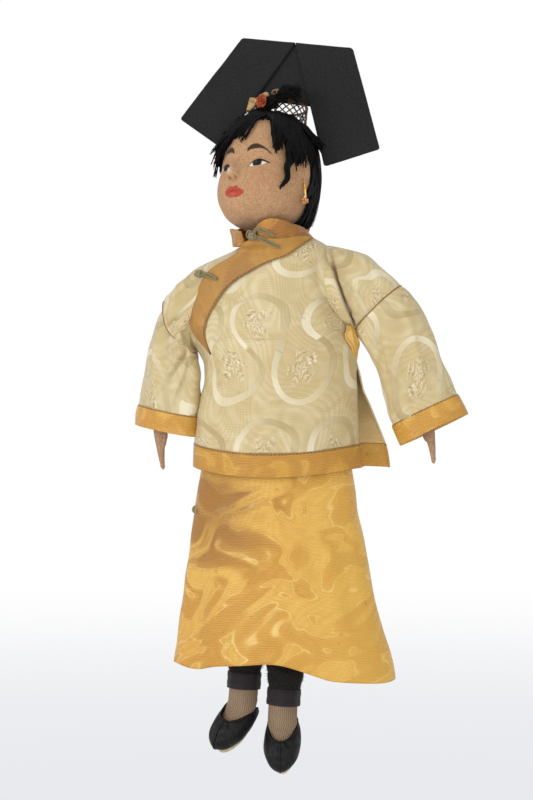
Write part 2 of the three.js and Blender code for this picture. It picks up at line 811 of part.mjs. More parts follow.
function makeForearm() {
  const taper = elbowRadius / Math.tan(rad(elbowTaper));
  return stuffed(
    [
      [0, -forearmLength],
      [0.5 * wristRadius, -forearmLength + 0.1],
      [wristRadius, -forearmLength + 0.9],
      [wristRadius + 0.2, -forearmLength + 6],
      [0.95 * elbowRadius, -0.4 * forearmLength],
      [elbowRadius, -taper],
      [0, -gap / 2],
    ],
    1,
    10,
  );
}

// A mitten hand with a pointed finger and a short thumb.
function makeHand(side) {
  const top = -forearmLength - 2 * gap;
  const palm = stuffed(
    [
      [0, top - handLength],
      [1.4, top - handLength + 1.2],
      [1.9, top - 0.72 * handLength],
      [3.6, top - 0.42 * handLength],
      [2.6, top - 0.5],
      [0, top],
    ],
    0.7,
    8,
  );
  const thumbPlace = new Vector3(-side * 2.9, -0.6, top - 0.5 * handLength);
  const thumb = pebble(new Vector3(1.2, 1.2, 4), thumbPlace, 8);
  return palm.add(thumb);
}

function makeArm(name) {
  const side = sides[name];
  const pose = armPose[name];
  const upper = new THREE.Group();
  upper.position.set(side * shoulderPivot.x, shoulderPivot.y, shoulderPivot.z);
  upper.rotation.y = -side * rad(pose.upper);
  upper.add(piece(name + '_upper_arm', makeUpperArm(), materials.muslin));

  const lower = new THREE.Group();
  lower.position.copy(elbowOf(name));
  lower.rotation.y = -side * rad(pose.lower);
  lower.add(
    piece(name + '_forearm', makeForearm(), materials.muslin),
    piece(name + '_hand', makeHand(side), materials.skin),
    ...makeLowerSleeve(name),
  );
  return [upper, lower, makeUpperSleeve(name)];
}

// Skirt, trousers, legs and feet

function makeSkirt() {
  const girth = girths(skirtWidths);
  const fall = (point, angle) => {
    const share = (skirtTop - point.z) / (skirtTop - skirtHem);
    const swell = 1 + (fluteDepth * share * Math.cos(flutes * angle)) / girth(point.z).halfWidth;
    return new Vector3(point.x * swell, point.y * swell, point.z - hemSlope * share * point.x);
  };
  const skirt = tube(girth, skirtHem, skirtTop, cloth, 6, skirtColumns, fall);
  const waist = () => ({ halfWidth: waistHalf + 4, halfDepth: waistHalfDepth + 4 });
  const band = tube(waist, waistbandTop - waistbandHeight, waistbandTop, cloth, 1, skirtColumns);
  const onSkirt = (angle, height, out) => fall(onOval(girth(height), rad(angle), height, out), rad(angle));
  return [
    piece('skirt', skirt, materials.gold),
    piece('skirt_waistband', band, materials.gold),
    frog('frog_skirt', onSkirt(-80, knotHeight, knotRadius), [
      onSkirt(-70, knotHeight, gap + frogCord + 0.6),
    ]),
  ];
}

function makeTrouserSeat() {
  const seat = girths([
    [seatHem, hipHalf + ease + cloth, hipHalf * torsoFlatness + ease + cloth],
    [torsoBottom + hipRise, hipHalf + ease + cloth, hipHalf * torsoFlatness + ease + cloth],
    [seatRise, waistHalf + ease + cloth, waistHalfDepth + ease + cloth],
  ]);
  return piece('trouser_seat', tube(seat, seatHem, seatRise, cloth, 2, skirtColumns), materials.black);
}

function makeLegParts(name) {
  const { length } = legPose[name];
  const hem = -(length - ankleReach);
  const leg = stuffed(
    [
      [0, -length + ankleBall - 1],
      [0.94 * shinRadius, -length + ankleBall - 0.6],
      [shinRadius, -0.75 * length],
      [thighRadius, -0.3 * length],
      [thighRadius, 0],
      [0.7 * thighRadius, 0.7 * thighRadius],
      [0, thighRadius],
    ],
    1,
    12,
  ).subtract(ball(ankleBall + 2 * gap, new Vector3(0, 0, -length)));
  const low = hem;
  const high = -thighRadius;
  const overShin = shinRadius + ease + cloth;
  const overThigh = thighRadius + ease + cloth;
  const trouserOut = girths([
    [low, overShin, overShin],
    [-0.75 * length, overShin, overShin],
    [-0.3 * length, overThigh, overThigh],
    [high, overThigh, overThigh],
  ]);
  const trouser = tube(trouserOut, low, high, cloth, 4);
  const bandOut = (height) => {
    const out = trouserOut(height).halfWidth + gap + trim;
    return { halfWidth: out, halfDepth: out };
  };
  const band = tube(bandOut, low, low + bandHeight, trim, 1);
  return [
    piece(name + '_leg', leg, materials.muslin),
    piece(name + '_trouser_leg', trouser, materials.black),
    piece(name + '_ankle_band', band, materials.ribbon),
  ];
}

// Foot, shoe and sole, in the foot's frame: the ankle is the origin, the toe points along -Y.
function makeFootParts(name) {
  const middle = new Vector3(0, -footForward, -footDrop);
  const halves = (margin) => new Vector3(footHalfWidth, footHalfLength, footHalfHeight).addScalar(margin);
  const soleTop = -footDrop - footHalfHeight + soleRise;
  const wide = 60;
  const above = box(new Vector3(-wide, -wide, soleTop), new Vector3(wide, wide, wide));
  const foot = pebble(halves(0), middle).add(ball(ankleBall)).intersect(above);
  const throat = solid(
    new THREE.CylinderGeometry(1, 1, wide, round)
      .rotateX(Math.PI / 2)
      .scale(throatHalfWidth, throatHalfLength, 1)
      .translate(0, -throatForward, wide / 2 + soleTop + soleThickness),
  );
  const shoe = pebble(halves(gap + cloth), middle)
    .subtract(pebble(halves(gap), middle))
    .subtract(throat)
    .intersect(above);
  const outline = new THREE.Shape().absellipse(
    0,
    -footForward,
    footHalfWidth + gap + soleMargin,
    footHalfLength + gap + soleMargin,
    0,
    2 * Math.PI,
  );
  const sole = solid(
    new THREE.ExtrudeGeometry(outline, { depth: soleThickness, bevelEnabled: false, curveSegments: round })
      .translate(0, 0, soleTop - gap - soleThickness),
  );
  return [
    piece(name + '_foot', foot, materials.stocking),
    piece(name + '_shoe', shoe, materials.leather),
    piece(name + '_shoe_sole', sole, materials.sole),
  ];
}

function makeLeg(name) {
  const side = sides[name];
  const group = new THREE.Group();
  group.position.set(side * hipPivot.x, hipPivot.y, hipPivot.z);
  group.rotation.set(rad(-legPose[name].forward), rad(legPose[name].lean), 0);
  group.add(...makeLegParts(name));
  const foot = new THREE.Group();
  const pose = footPose[name];
  foot.position.set(0, 0, -legPose[name].length);
  foot.rotation.set(rad(pose.point), rad(pose.flop), rad(pose.toeOut), 'YZX');
  foot.add(...makeFootParts(name));
  group.add(foot);
  return group;
}

// Assembly

const doll = new THREE.Group();
doll.name = 'cloth_doll';
doll.add(makeTorso(), makeNeck(), makeHeadGroup(), ...makeJacket(), ...makeSkirt(), makeTrouserSeat());
Object.keys(sides).forEach((name) => doll.add(...makeArm(name), makeLeg(name)));

export default doll;
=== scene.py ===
# Cloth doll in a gold and ivory silk outfit with a black board headdress.
# Sizes are in millimetres and turn into metres when a mesh is made. The doll faces -Y, its left is +X.
import functools
import math

import bmesh
import bpy
import numpy as np
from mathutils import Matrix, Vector


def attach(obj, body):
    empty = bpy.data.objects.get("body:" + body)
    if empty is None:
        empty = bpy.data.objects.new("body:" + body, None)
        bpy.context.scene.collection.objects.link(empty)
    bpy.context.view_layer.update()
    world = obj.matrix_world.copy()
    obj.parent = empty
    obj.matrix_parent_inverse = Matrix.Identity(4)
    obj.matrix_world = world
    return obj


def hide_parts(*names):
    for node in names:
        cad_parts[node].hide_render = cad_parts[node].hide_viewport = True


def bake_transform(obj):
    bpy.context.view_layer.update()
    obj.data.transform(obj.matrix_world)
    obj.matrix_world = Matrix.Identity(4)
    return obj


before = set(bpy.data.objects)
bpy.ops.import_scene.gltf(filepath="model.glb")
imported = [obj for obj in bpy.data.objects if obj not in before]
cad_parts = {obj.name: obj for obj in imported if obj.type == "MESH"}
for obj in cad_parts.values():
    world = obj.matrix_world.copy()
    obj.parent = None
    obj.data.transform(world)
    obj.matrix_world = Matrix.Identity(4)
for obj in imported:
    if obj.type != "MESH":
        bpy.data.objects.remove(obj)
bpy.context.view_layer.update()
MM = 0.001
SIDES = {"left": 1, "right": -1}


# Numbers and curves

def ease(value, low=0.0, high=1.0):
    share = np.clip((np.asarray(value, float) - low) / (high - low), 0, 1)
    return share * share * (3 - 2 * share)


def hump(value, width):
    return np.exp(-((np.asarray(value, float) / width) ** 2))


def through(rows, at):
    """Smooth values at the given places through rows of (place, value, ...)."""
    rows = np.array(rows, float)
    rows = rows[np.argsort(rows[:, 0])]
    place, value = rows[:, 0], rows[:, 1:]
    slope = np.gradient(value, place, axis=0)
    at = np.clip(np.asarray(at, float), place[0], place[-1])
    i = np.clip(np.searchsorted(place, at) - 1, 0, len(place) - 2)
    span = (place[i + 1] - place[i])[..., None]
    t = ((at - place[i]) / (place[i + 1] - place[i]))[..., None]
    return (
        (2 * t**3 - 3 * t**2 + 1) * value[i]
        + (t**3 - 2 * t**2 + t) * span * slope[i]
        + (3 * t**2 - 2 * t**3) * value[i + 1]
        + (t**3 - t**2) * span * slope[i + 1]
    )


def along(points, count):
    """A smooth run of points through a few given ones."""
    points = np.array(points, float)
    step = np.r_[0, np.cumsum(np.linalg.norm(np.diff(points, axis=0), axis=1))]
    return through(np.c_[step, points], np.linspace(0, step[-1], count))


def ripple(u, v, size, seed):
    """Soft uneven swelling of about the given size, from -1 to 1."""
    draw = np.random.default_rng(seed)
    total = 0.0
    for _ in range(6):
        turn, phase = draw.uniform(0, 2 * math.pi, 2)
        pitch = 2 * math.pi / size * draw.uniform(0.6, 1.4)
        total = total + np.sin(pitch * (u * math.cos(turn) + v * math.sin(turn)) + phase)
    return total / 3.5


def folds(u, v, rows):
    """Fold ridges along straight runs: rows of u and v at the start, at the end, width and height."""
    total = np.zeros(np.broadcast(u, v).shape)
    for u0, v0, u1, v1, width, height in rows:
        run = np.array([u1 - u0, v1 - v0], float)
        length = np.linalg.norm(run)
        run /= length
        on = ((u - u0) * run[0] + (v - v0) * run[1]) / length
        off = (v - v0) * run[0] - (u - u0) * run[1]
        total = total + height * hump(off, width) * ease(on, -0.15, 0.25) * (1 - ease(on, 0.6, 1.15))
    return total


def turned(*turns):
    """Axes turned by steps of (axis, degrees), as columns."""
    axes = np.eye(3)
    for axis, degrees in turns:
        c, s = math.cos(math.radians(degrees)), math.sin(math.radians(degrees))
        step = {
            "X": [[1, 0, 0], [0, c, -s], [0, s, c]],
            "Y": [[c, 0, s], [0, 1, 0], [-s, 0, c]],
            "Z": [[c, -s, 0], [s, c, 0], [0, 0, 1]],
        }[axis]
        axes = axes @ np.array(step)
    return axes


def put(points, where):
    axes, origin = where
    return np.asarray(points, float) @ axes.T + np.asarray(origin, float)


HEAD = (turned(("X", -18), ("Z", -25)), np.array([-6.0, 4, 113]))
BOARDS = (turned(("Z", -10), ("X", -12), ("Y", 8.5)), put([8.4, 4.1, 70.5], HEAD))
SHOULDER = {"left": (31.5, 0, 50), "right": (-31.5, 0, 50)}
UPPER_ARM = 27.0
ARM = {"left": (58, 25.5, 0), "right": (58, 9, 30)}
LEG = {"left": (11.5, 119.5, 3.6), "right": (-11.5, 111.5, 3)}
FOOT = {"left": (58, -4, 8), "right": (58, 18, -20)}


def elbow_of(name):
    angle = math.radians(ARM[name][0])
    x, y, z = SHOULDER[name]
    return np.array([x + SIDES[name] * UPPER_ARM * math.sin(angle), y, z - UPPER_ARM * math.cos(angle)])


def forearm_frame(name):
    return turned(("Y", -SIDES[name] * ARM[name][1])), elbow_of(name)


def leg_frame(name):
    hip, _, lean = LEG[name]
    return turned(("X", -2), ("Y", lean)), np.array([hip, 0, -50.0])


def foot_frame(name):
    axes, origin = leg_frame(name)
    point, flop, out = FOOT[name]
    return axes @ turned(("Y", flop), ("Z", out), ("X", point)), origin - axes[:, 2] * LEG[name][1]


# Meshes

def only(obj):
    bpy.ops.object.select_all(action="DESELECT")
    obj.select_set(True)
    bpy.context.view_layer.objects.active = obj


def applied(obj, kind, **values):
    """The object with a modifier applied to its mesh."""
    modifier = obj.modifiers.new(kind.title(), kind)
    for key, value in values.items():
        setattr(modifier, key, value)
    only(obj)
    bpy.ops.object.modifier_apply(modifier=modifier.name)
    return obj


def linked(name, data):
    """A new object in the scene."""
    obj = bpy.data.objects.new(name, data)
    bpy.context.scene.collection.objects.link(obj)
    return obj


def coated(obj, material):
    """The object in one material, shaded smooth."""
    obj.data.materials.clear()
    obj.data.materials.append(material)
    obj.data.shade_smooth()
    return obj


def primitive(kind, name, **values):
    """A new primitive in edit mode, with all of it selected."""
    bpy.ops.object.select_all(action="DESELECT")
    getattr(bpy.ops.mesh, f"primitive_{kind}_add")(**values)
    bpy.context.object.name = name
    bpy.ops.object.mode_set(mode="EDIT")
    bpy.ops.mesh.select_all(action="SELECT")
    return bpy.context.object


def picked(obj, indices):
    """Goes into edit mode with only some of an object's points selected."""
    bpy.ops.object.mode_set(mode="EDIT")
    bpy.ops.mesh.select_mode(type="VERT")
    bpy.ops.mesh.select_all(action="DESELECT")
    bpy.ops.object.mode_set(mode="OBJECT")
    for index in indices:
        obj.data.vertices[index].select = True
    bpy.ops.object.mode_set(mode="EDIT")


def points_of(obj):
    """The points of an object's mesh, in mm."""
    return np.array([point.co for point in obj.data.vertices]) / MM


def move_points(obj, points, where):
    """Puts the points of an object's mesh at new places, given in mm in a frame of their own."""
    obj.data.vertices.foreach_set("co", (put(points, where) * MM).ravel())


ODD_WAY = (0.31, 0.17, 0.93)


def mesh_of(name, points, faces, corners):
    """A mesh that knows where each corner of its faces lies on the flat cloth."""
    mesh = bpy.data.meshes.new(name)
    mesh.from_pydata((points * MM).tolist(), [], faces)
    layer = mesh.uv_layers.new(name="cut")
    layer.data.foreach_set("uv", np.asarray(corners, np.float32).ravel())
    return mesh


def grid_faces(rows, columns, uv, wrap):
    """The four-sided faces of a grid of points and the places of their corners on the flat cloth."""
    r, c = np.meshgrid(np.arange(rows - 1), np.arange(columns if wrap else columns - 1), indexing="ij")
    n = (c + 1) % columns
    faces = np.stack([r * columns + c, r * columns + n, (r + 1) * columns + n, (r + 1) * columns + c], -1)
    corners = np.stack([uv[r, c], uv[r, c + 1], uv[r + 1, c + 1], uv[r + 1, c]], 2)
    return faces.reshape(-1, 4), corners.reshape(-1, 4, 2)


def grid_normals(grid, wrap):
    """Directions square to a grid of points."""
    if wrap:
        across = np.roll(grid, -1, 1) - np.roll(grid, 1, 1)
    else:
        across = np.gradient(grid, axis=1)
    normal = np.cross(across, np.gradient(grid, axis=0))
    return normal / np.maximum(np.linalg.norm(normal, axis=2, keepdims=True), 1e-9)


def pushed(grid, amount, inside, wrap=False):
    """The grid moved outwards by the given amounts."""
    normal = grid_normals(grid, wrap)
    away = np.sum(normal * (grid - np.asarray(inside, float)))
    return grid + normal * (np.sign(away) * amount)[..., None]


def lengths(grid, wrap=False):
    """How far each point lies across and along the cloth, in mm."""
    rows = len(grid)
    closed = np.concatenate([grid, grid[:, :1]], 1) if wrap else grid
    step = np.linalg.norm(np.diff(closed, axis=1), axis=2)
    u = np.concatenate([np.zeros((rows, 1)), np.cumsum(step, 1)], 1)
    u = u - (0 if wrap else 0.5) * u[:, -1:]
    rise = np.linalg.norm(np.diff(closed, axis=0), axis=2)
    v = np.concatenate([np.zeros((1, closed.shape[1])), np.cumsum(rise, 0)], 0)
    return np.stack([u, v], -1)


def cloth(name, grid, material, inside, uv=None, wrap=False, wall=0.0, soil_and_shade=None, lining=None):
    """A sheet of cloth through a grid, facing away from the inside point, with painted shade in its creases.
    """
    rows, columns = grid.shape[:2]
    quads, corners = grid_faces(rows, columns, lengths(grid, wrap) if uv is None else uv, wrap)
    flat = grid.reshape(-1, 3)
    p = flat[quads]
    facing = np.cross(p[:, 2] - p[:, 0], p[:, 3] - p[:, 1])
    if np.sum(facing * (p.mean(1) - np.asarray(inside, float))) < 0:
        quads, corners = quads[:, ::-1], corners[:, ::-1]
    mesh = mesh_of(name, flat, quads.tolist(), corners)
    mesh.validate()
    obj = coated(linked(name, mesh), material)
    # The crease attribute holds painted shade for creases and fold valleys.
    if soil_and_shade is not None:
        layer = mesh.attributes.new("crease", "FLOAT", "POINT")
        layer.data.foreach_set("value", np.clip(soil_and_shade, 0, 1).astype(np.float32).ravel())
    if lining:
        mesh.materials.append(lining)
    if wall:
        applied(obj, "SOLIDIFY", thickness=wall * MM, offset=-1.0, material_offset=1 if lining else 0)
    return obj


def closed_form(name, grid, low, high, material):
    """A stuffed form: rings of points closed by a pole at each end."""
    rows, columns = grid.shape[:2]
    uv = lengths(grid, True)
    faces, corners = grid_faces(rows, columns, uv, True)
    faces, corners = faces.tolist(), corners.reshape(-1, 2).tolist()
    top, pole = (rows - 1) * columns, rows * columns
    for c in range(columns):
        n = (c + 1) % columns
        faces += [(n, c, pole), (top + c, top + n, pole + 1)]
        corners += [uv[0, c + 1], uv[0, c], uv[0, c], uv[-1, c], uv[-1, c + 1], uv[-1, c]]
    mesh = mesh_of(name, np.concatenate([grid.reshape(-1, 3), [low, high]]), faces, corners)
    shape = bmesh.new()
    shape.from_mesh(mesh)
    bmesh.ops.recalc_face_normals(shape, faces=shape.faces)
    shape.to_mesh(mesh)
    shape.free()
    return coated(linked(name, mesh), material)


def cords(name, paths, radii, material, sides=8):
    """Round cords along runs of points, all in one mesh; a radius may change along its cord."""
    points, faces, corners = [], [], []
    start = 0
    turn = np.linspace(0, 2 * math.pi, sides, endpoint=False)
    for path, radius in zip(paths, radii):
        path = np.asarray(path, float)
        count = len(path)
        radius = np.broadcast_to(np.asarray(radius, float), (count,))
        run = np.gradient(path, axis=0)
        run /= np.maximum(np.linalg.norm(run, axis=1, keepdims=True), 1e-9)
        side = np.cross(run[0], ODD_WAY)
        rings = []
        for i in range(count):
            side = side - run[i] * np.dot(side, run[i])
            side /= np.linalg.norm(side)
            other = np.cross(run[i], side)
            rings.append(path[i] + radius[i] * (np.outer(np.cos(turn), side) + np.outer(np.sin(turn), other)))
        points.append(np.concatenate(rings + [path[[0, -1]]]))
        reach = np.r_[0, np.cumsum(np.linalg.norm(np.diff(path, axis=0), axis=1))]
        uv = np.stack(np.meshgrid(np.arange(sides + 1) / sides, reach), -1)
        quads, places = grid_faces(count, sides, uv, True)
        faces += (quads + start).tolist()
        last, tip = start + (count - 1) * sides, start + count * sides
        for k in range(sides):
            n = (k + 1) % sides
            faces += [(start + n, start + k, tip), (last + k, last + n, tip + 1)]
        corners += [places.reshape(-1, 2), [[(0, 0)] * 3 + [(0, reach[-1])] * 3] * sides]
        start = tip + 2
    corners = np.concatenate([np.reshape(places, (-1, 2)) for places in corners])
    return coated(linked(name, mesh_of(name, np.concatenate(points), faces, corners)), material)


def joined(name, *objs):
    bpy.ops.object.select_all(action="DESELECT")
    for obj in objs:
        obj.select_set(True)
    bpy.context.view_layer.objects.active = objs[0]
    bpy.ops.object.join()
    objs[0].name = name
    return objs[0]


def tube(turn, z, wide, deep):
    """Points round the Z axis, from the front on, at each height."""
    return np.stack([wide * np.sin(turn), -deep * np.cos(turn), z + 0 * turn], -1)


def oval(rows, z):
    """Half width and half depth at a height, through rows of (height, half width, half depth)."""
    value = through(rows, z)
    return value[..., 0], value[..., 1]


# Nodes

def colour(red, green, blue):
    """A colour as it is seen, 0 to 255, in the shader's own scale."""
    shares = [value / 255 for value in (red, green, blue)]
    return (*[s / 12.92 if s <= 0.04045 else ((s + 0.055) / 1.055) ** 2.4 for s in shares], 1.0)


MATH = {
    "add": "ADD", "sub": "SUBTRACT", "mul": "MULTIPLY", "div": "DIVIDE", "mul_add": "MULTIPLY_ADD",
    "max": "MAXIMUM", "sin": "SINE", "cos": "COSINE", "atan": "ARCTAN2", "abs": "ABSOLUTE", "sqrt": "SQRT",
    "fract": "FRACT", "pingpong": "PINGPONG", "modulo": "FLOORED_MODULO",
}


class Tree:
    """A node tree built by calls that give sockets; its math nodes go by the names in MATH."""

    def __init__(self, tree):
        self.tree = tree

    def link(self, value, made, key):
        if isinstance(value, bpy.types.NodeSocket):
            self.tree.links.new(value, made.inputs[key])
        else:
            made.inputs[key].default_value = value

    def node(self, kind, inputs=(), **settings):
        made = self.tree.nodes.new(kind)
        for key, value in settings.items():
            setattr(made, key, value)
        for key, value in dict(inputs).items():
            self.link(value, made, key)
        return made

    def calc(self, operation, *values):
        return self.node("ShaderNodeMath", enumerate(values), operation=operation).outputs[0]

    def ranged(self, value, low, high, new_low=0.0, new_high=1.0):
        inputs = {"Value": value, "From Min": low, "From Max": high, "To Min": new_low, "To Max": new_high}
        return self.node("ShaderNodeMapRange", inputs, interpolation_type="SMOOTHSTEP").outputs["Result"]

    def mixed(self, share, first, second):
        """Two colours mixed by a share, each a socket or a tuple of red, green and blue as seen."""
        first, second = (colour(*tone) if isinstance(tone, tuple) else tone for tone in (first, second))
        return self.node("ShaderNodeMix", {0: share, 6: first, 7: second}, data_type="RGBA").outputs[2]

    def washed(self, toned, tone, mask, amount):
        """A colour with an amount of another laid over it where a mask says."""
        return self.mixed(self.mul(mask, amount), toned, tone)

    def lifted(self, wave, half):
        """A wave from -1 to 1 brought to 0 and up."""
        return self.mul_add(wave, half, half)

    def noise(self, vector, scale, detail=2.0, distortion=0.0, rough=0.5):
        inputs = {"Vector": vector, "Scale": scale, "Detail": detail, "Roughness": rough}
        inputs["Distortion"] = distortion
        return self.node("ShaderNodeTexNoise", inputs).outputs["Fac"]

    def scaled(self, vector, x, y):
        return self.node("ShaderNodeMapping", {"Vector": vector, "Scale": (x, y, 1.0)}).outputs[0]

    def apart(self, vector):
        return self.node("ShaderNodeSeparateXYZ", {0: vector}).outputs

    def placed(self, group, **inputs):
        return self.node("ShaderNodeGroup", inputs, node_tree=group).outputs

    def seen(self):
        """Where the camera looks, straight or by way of a gloss or glass."""
        path = self.node("ShaderNodeLightPath").outputs
        return self.max(path["Is Camera Ray"], self.max(path["Is Glossy Ray"], path["Is Transmission Ray"]))


for method, operation in MATH.items():
    setattr(Tree, method, functools.partialmethod(Tree.calc, operation))


class Effect(Tree):
    """A node group that puts out masks and values, from a vector and numbers or from numbers only."""

    def __init__(self, name, vector=True, **numbers):
        super().__init__(bpy.data.node_groups.new(name, "ShaderNodeTree"))
        if vector:
            self.socket("Vector", "INPUT", "NodeSocketVector")
        for label, value in numbers.items():
            self.socket(label, "INPUT").default_value = value
        self.given = self.tree.nodes.new("NodeGroupInput").outputs

    def socket(self, label, way, kind="NodeSocketFloat"):
        return self.tree.interface.new_socket(label, in_out=way, socket_type=kind)

    def done(self, **values):
        for label in values:
            self.socket(label, "OUTPUT")
        self.node("NodeGroupOutput", values)
        return self.tree


def make_threads():
    """Over-and-under threads of a woven cloth."""
    t = Effect("threads", Pitch=0.6)
    x, y, _ = t.apart(t.given["Vector"])
    wave = [t.sin(t.div(t.mul(axis, 2 * math.pi), t.given["Pitch"])) for axis in (x, y)]
    return t.done(Height=t.mul(t.add(*wave), 0.5))


def make_watered():
    """Watered silk: winding pale lines, broad clouds, and fine ribs and rings that bend with them."""
    t = Effect("watered_silk", Size=26.0, Lines=5.0)
    inputs = {0: t.given["Vector"], "Scale": t.div(1.0, t.given["Size"])}
    shrunk = t.node("ShaderNodeVectorMath", inputs, operation="SCALE").outputs[0]
    flat = t.scaled(shrunk, 1.0, 1.35)
    field = t.noise(flat, 1.0, 2.4, 0.7)
    steps = t.mul(field, t.given["Lines"])
    off = t.abs(t.sub(t.fract(steps), 0.5))
    gaps = t.ranged(t.noise(flat, 1.3, 1.0), 0.36, 0.56)
    slow = t.noise(t.scaled(shrunk, 1.3, 0.75), 0.8, 0.0, 0.25)
    rings = t.mul(t.mul(slow, t.given["Lines"]), 2 * math.pi * 3.0)
    _, v, _ = t.apart(t.given["Vector"])
    bent = t.mul_add(field, 9.0, v)
    return t.done(
        Line=t.mul(t.ranged(off, 0.085, 0.0), gaps),
        Cloud=t.ranged(t.pingpong(steps, 1.0), 0.0, 1.0),
        Rib=t.sin(t.mul(bent, 2 * math.pi / 1.15)),
        Ring=t.sin(rings),
    )


def make_figure():
    """Woven figure: a ribbon that meanders in open loops, with a leafy sprig in each loop; the ribbon has
    painted sheen, lighter on one side of each turn.
    """
    t = Effect("woven_figure")
    radius, half, bite, row, blur = 15.0, 1.9, 39.0, 66.0, 0.25
    wide = 4 * radius * math.sin(math.radians(bite))
    drop = 2 * radius * math.cos(math.radians(bite))
    x, z, _ = t.apart(t.given["Vector"])
    bend = t.scaled(t.given["Vector"], 0.03, 0.03)
    x = t.mul_add(t.sub(t.noise(bend, 0.8, 0.0), 0.5), 14.0, x)
    z = t.mul_add(t.sub(t.noise(bend, 1.0, 0.0), 0.5), 16.0, z)
    ribbons, painted_sheens, sprigs, veins = [], [], [], []
    for way, shift, fall in ((1.0, 0.0, 0.0), (-1.0, 0.5 * wide, -drop)):
        sx = t.sub(t.modulo(t.add(x, 0.5 * wide - shift), wide), 0.5 * wide)
        sz = t.sub(t.modulo(t.add(z, 0.5 * row - fall), row), 0.5 * row)
        reach = t.sqrt(t.add(t.mul(sx, sx), t.mul(sz, sz)))
        turn = t.atan(sx, t.mul(sz, way))
        shut = t.ranged(t.abs(turn), math.radians(180 - bite), math.radians(178 - bite))
        off = t.abs(t.sub(reach, radius))
        ribbons.append(t.mul(t.ranged(off, half + blur, half - blur), shut))
        # Painted sheen: one side of each turn of the ribbon is lighter, the other darker.
        light = t.mul_add(t.sin(t.add(turn, 0.7 * way)), -0.5, 0.5)
        painted_sheens.append(t.mul(light, ribbons[-1]))
        angle = t.add(turn, t.mul(t.noise(bend, 9.0, 1.0), 1.2))
        petal = t.abs(t.cos(t.mul(angle, 2.5)))
        tooth = t.mul(t.sin(t.mul(angle, 17.0)), 0.8)
        edge = t.add(t.mul_add(petal, 5.6, 2.4), tooth)
        sprigs.append(t.ranged(t.sub(edge, reach), -blur, blur))
        rays = t.sin(t.mul_add(angle, 22.0, t.mul(reach, 1.5)))
        rings = t.sin(t.mul_add(petal, 5.0, t.mul(reach, 2.2)))
        veins.append(t.mul(t.add(rays, rings), t.mul(sprigs[-1], 0.5)))
    worn = t.ranged(t.noise(bend, 1.7, 1.0), 0.36, 0.6, 0.62, 1.0)
    return t.done(
        Ribbon=t.mul(t.max(*ribbons), worn),
        PaintedSheen=t.max(*painted_sheens),
        Sprig=t.mul(t.max(*sprigs), worn),
        Vein=t.add(*veins),
    )


def make_soil():
    """Age on old cloth: broad tea-coloured clouds and a few small spots."""
    t = Effect("soil_and_shade", Scale=30.0)
    cloud = t.noise(t.given["Vector"], t.given["Scale"], 3.0)
    spot = t.noise(t.given["Vector"], t.mul(t.given["Scale"], 9.0))
    return t.done(Cloud=t.ranged(cloud, 0.38, 0.72), Spot=t.ranged(spot, 0.68, 0.76))


def make_fibres():
    """Felted or floss fibres: short uneven streaks and flecks."""
    t = Effect("fibres", Scale=700.0, Stretch=1.0)
    x, y, z = t.apart(t.given["Vector"])
    pulled = t.node("ShaderNodeCombineXYZ", {0: x, 1: t.mul(y, t.given["Stretch"]), 2: z}).outputs[0]
    fleck = t.noise(pulled, t.mul(t.given["Scale"], 1.6), 2.0, 0.4)
    return t.done(Height=t.noise(pulled, t.given["Scale"], 4.0, 0.6, 0.65), Fleck=t.ranged(fleck, 0.6, 0.72))


def make_stitches():
    """Running stitches along a line at a set distance from the cloth's edge."""
    t = Effect("stitches", False, Along=0.0, Off=0.0, Pitch=2.0, Half=0.35)
    line = t.ranged(t.sub(t.given["Half"], t.abs(t.given["Off"])), -0.12, 0.12)
    dash = t.ranged(t.fract(t.div(t.given["Along"], t.given["Pitch"])), 0.86, 0.76)
    return t.done(Mask=t.mul(line, dash))


THREADS = make_threads()
WATERED = make_watered()
FIGURE = make_figure()
SOIL = make_soil()
FIBRES = make_fibres()
STITCHES = make_stitches()


# Finishes

class Finish(Tree):
    """A material with one shader, which gets its colour, relief and roughness at the end."""

    def __init__(self, name, rough, specular=0.3, metal=0.0, sheen=0.0, coat=0.0):
        self.made = bpy.data.materials.new(name)
        self.made.use_nodes = True
        super().__init__(self.made.node_tree)
        self.shader = self.tree.nodes["Principled BSDF"]
        values = {"Roughness": rough, "Specular IOR Level": specular, "Metallic": metal,
                  "Sheen Weight": sheen, "Sheen Roughness": 0.4, "Coat Weight": coat}
        for key, value in values.items():
            self.link(value, self.shader, key)

    @functools.cached_property
    def cut(self):
        """Where a point lies on the flat cloth, in mm."""
        return self.node("ShaderNodeUVMap", uv_map="cut").outputs[0]

    @functools.cached_property
    def place(self):
        return self.node("ShaderNodeTexCoord").outputs["Object"]

    def attribute(self, name):
        return self.node("ShaderNodeAttribute", attribute_name=name, attribute_type="GEOMETRY").outputs

    def threads(self, pitch):
        return self.placed(THREADS, Vector=self.cut, Pitch=pitch)

    def silk(self, size, lines):
        return self.placed(WATERED, Vector=self.cut, Size=size, Lines=lines)

    def soil_and_shade(self, scale):
        return self.placed(SOIL, Vector=self.place, Scale=scale)

    def fibres(self, scale, stretch=1.0):
        return self.placed(FIBRES, Vector=self.place, Scale=scale, Stretch=stretch)

    def done(self, toned, height, depth, rough=None):
        self.link(toned, self.shader, "Base Color")
        if rough is not None:
            self.link(rough, self.shader, "Roughness")
        bump = self.node("ShaderNodeBump", {"Height": height, "Distance": depth * MM, "Strength": 1.0})
        self.link(bump.outputs[0], self.shader, "Normal")
        return self.made


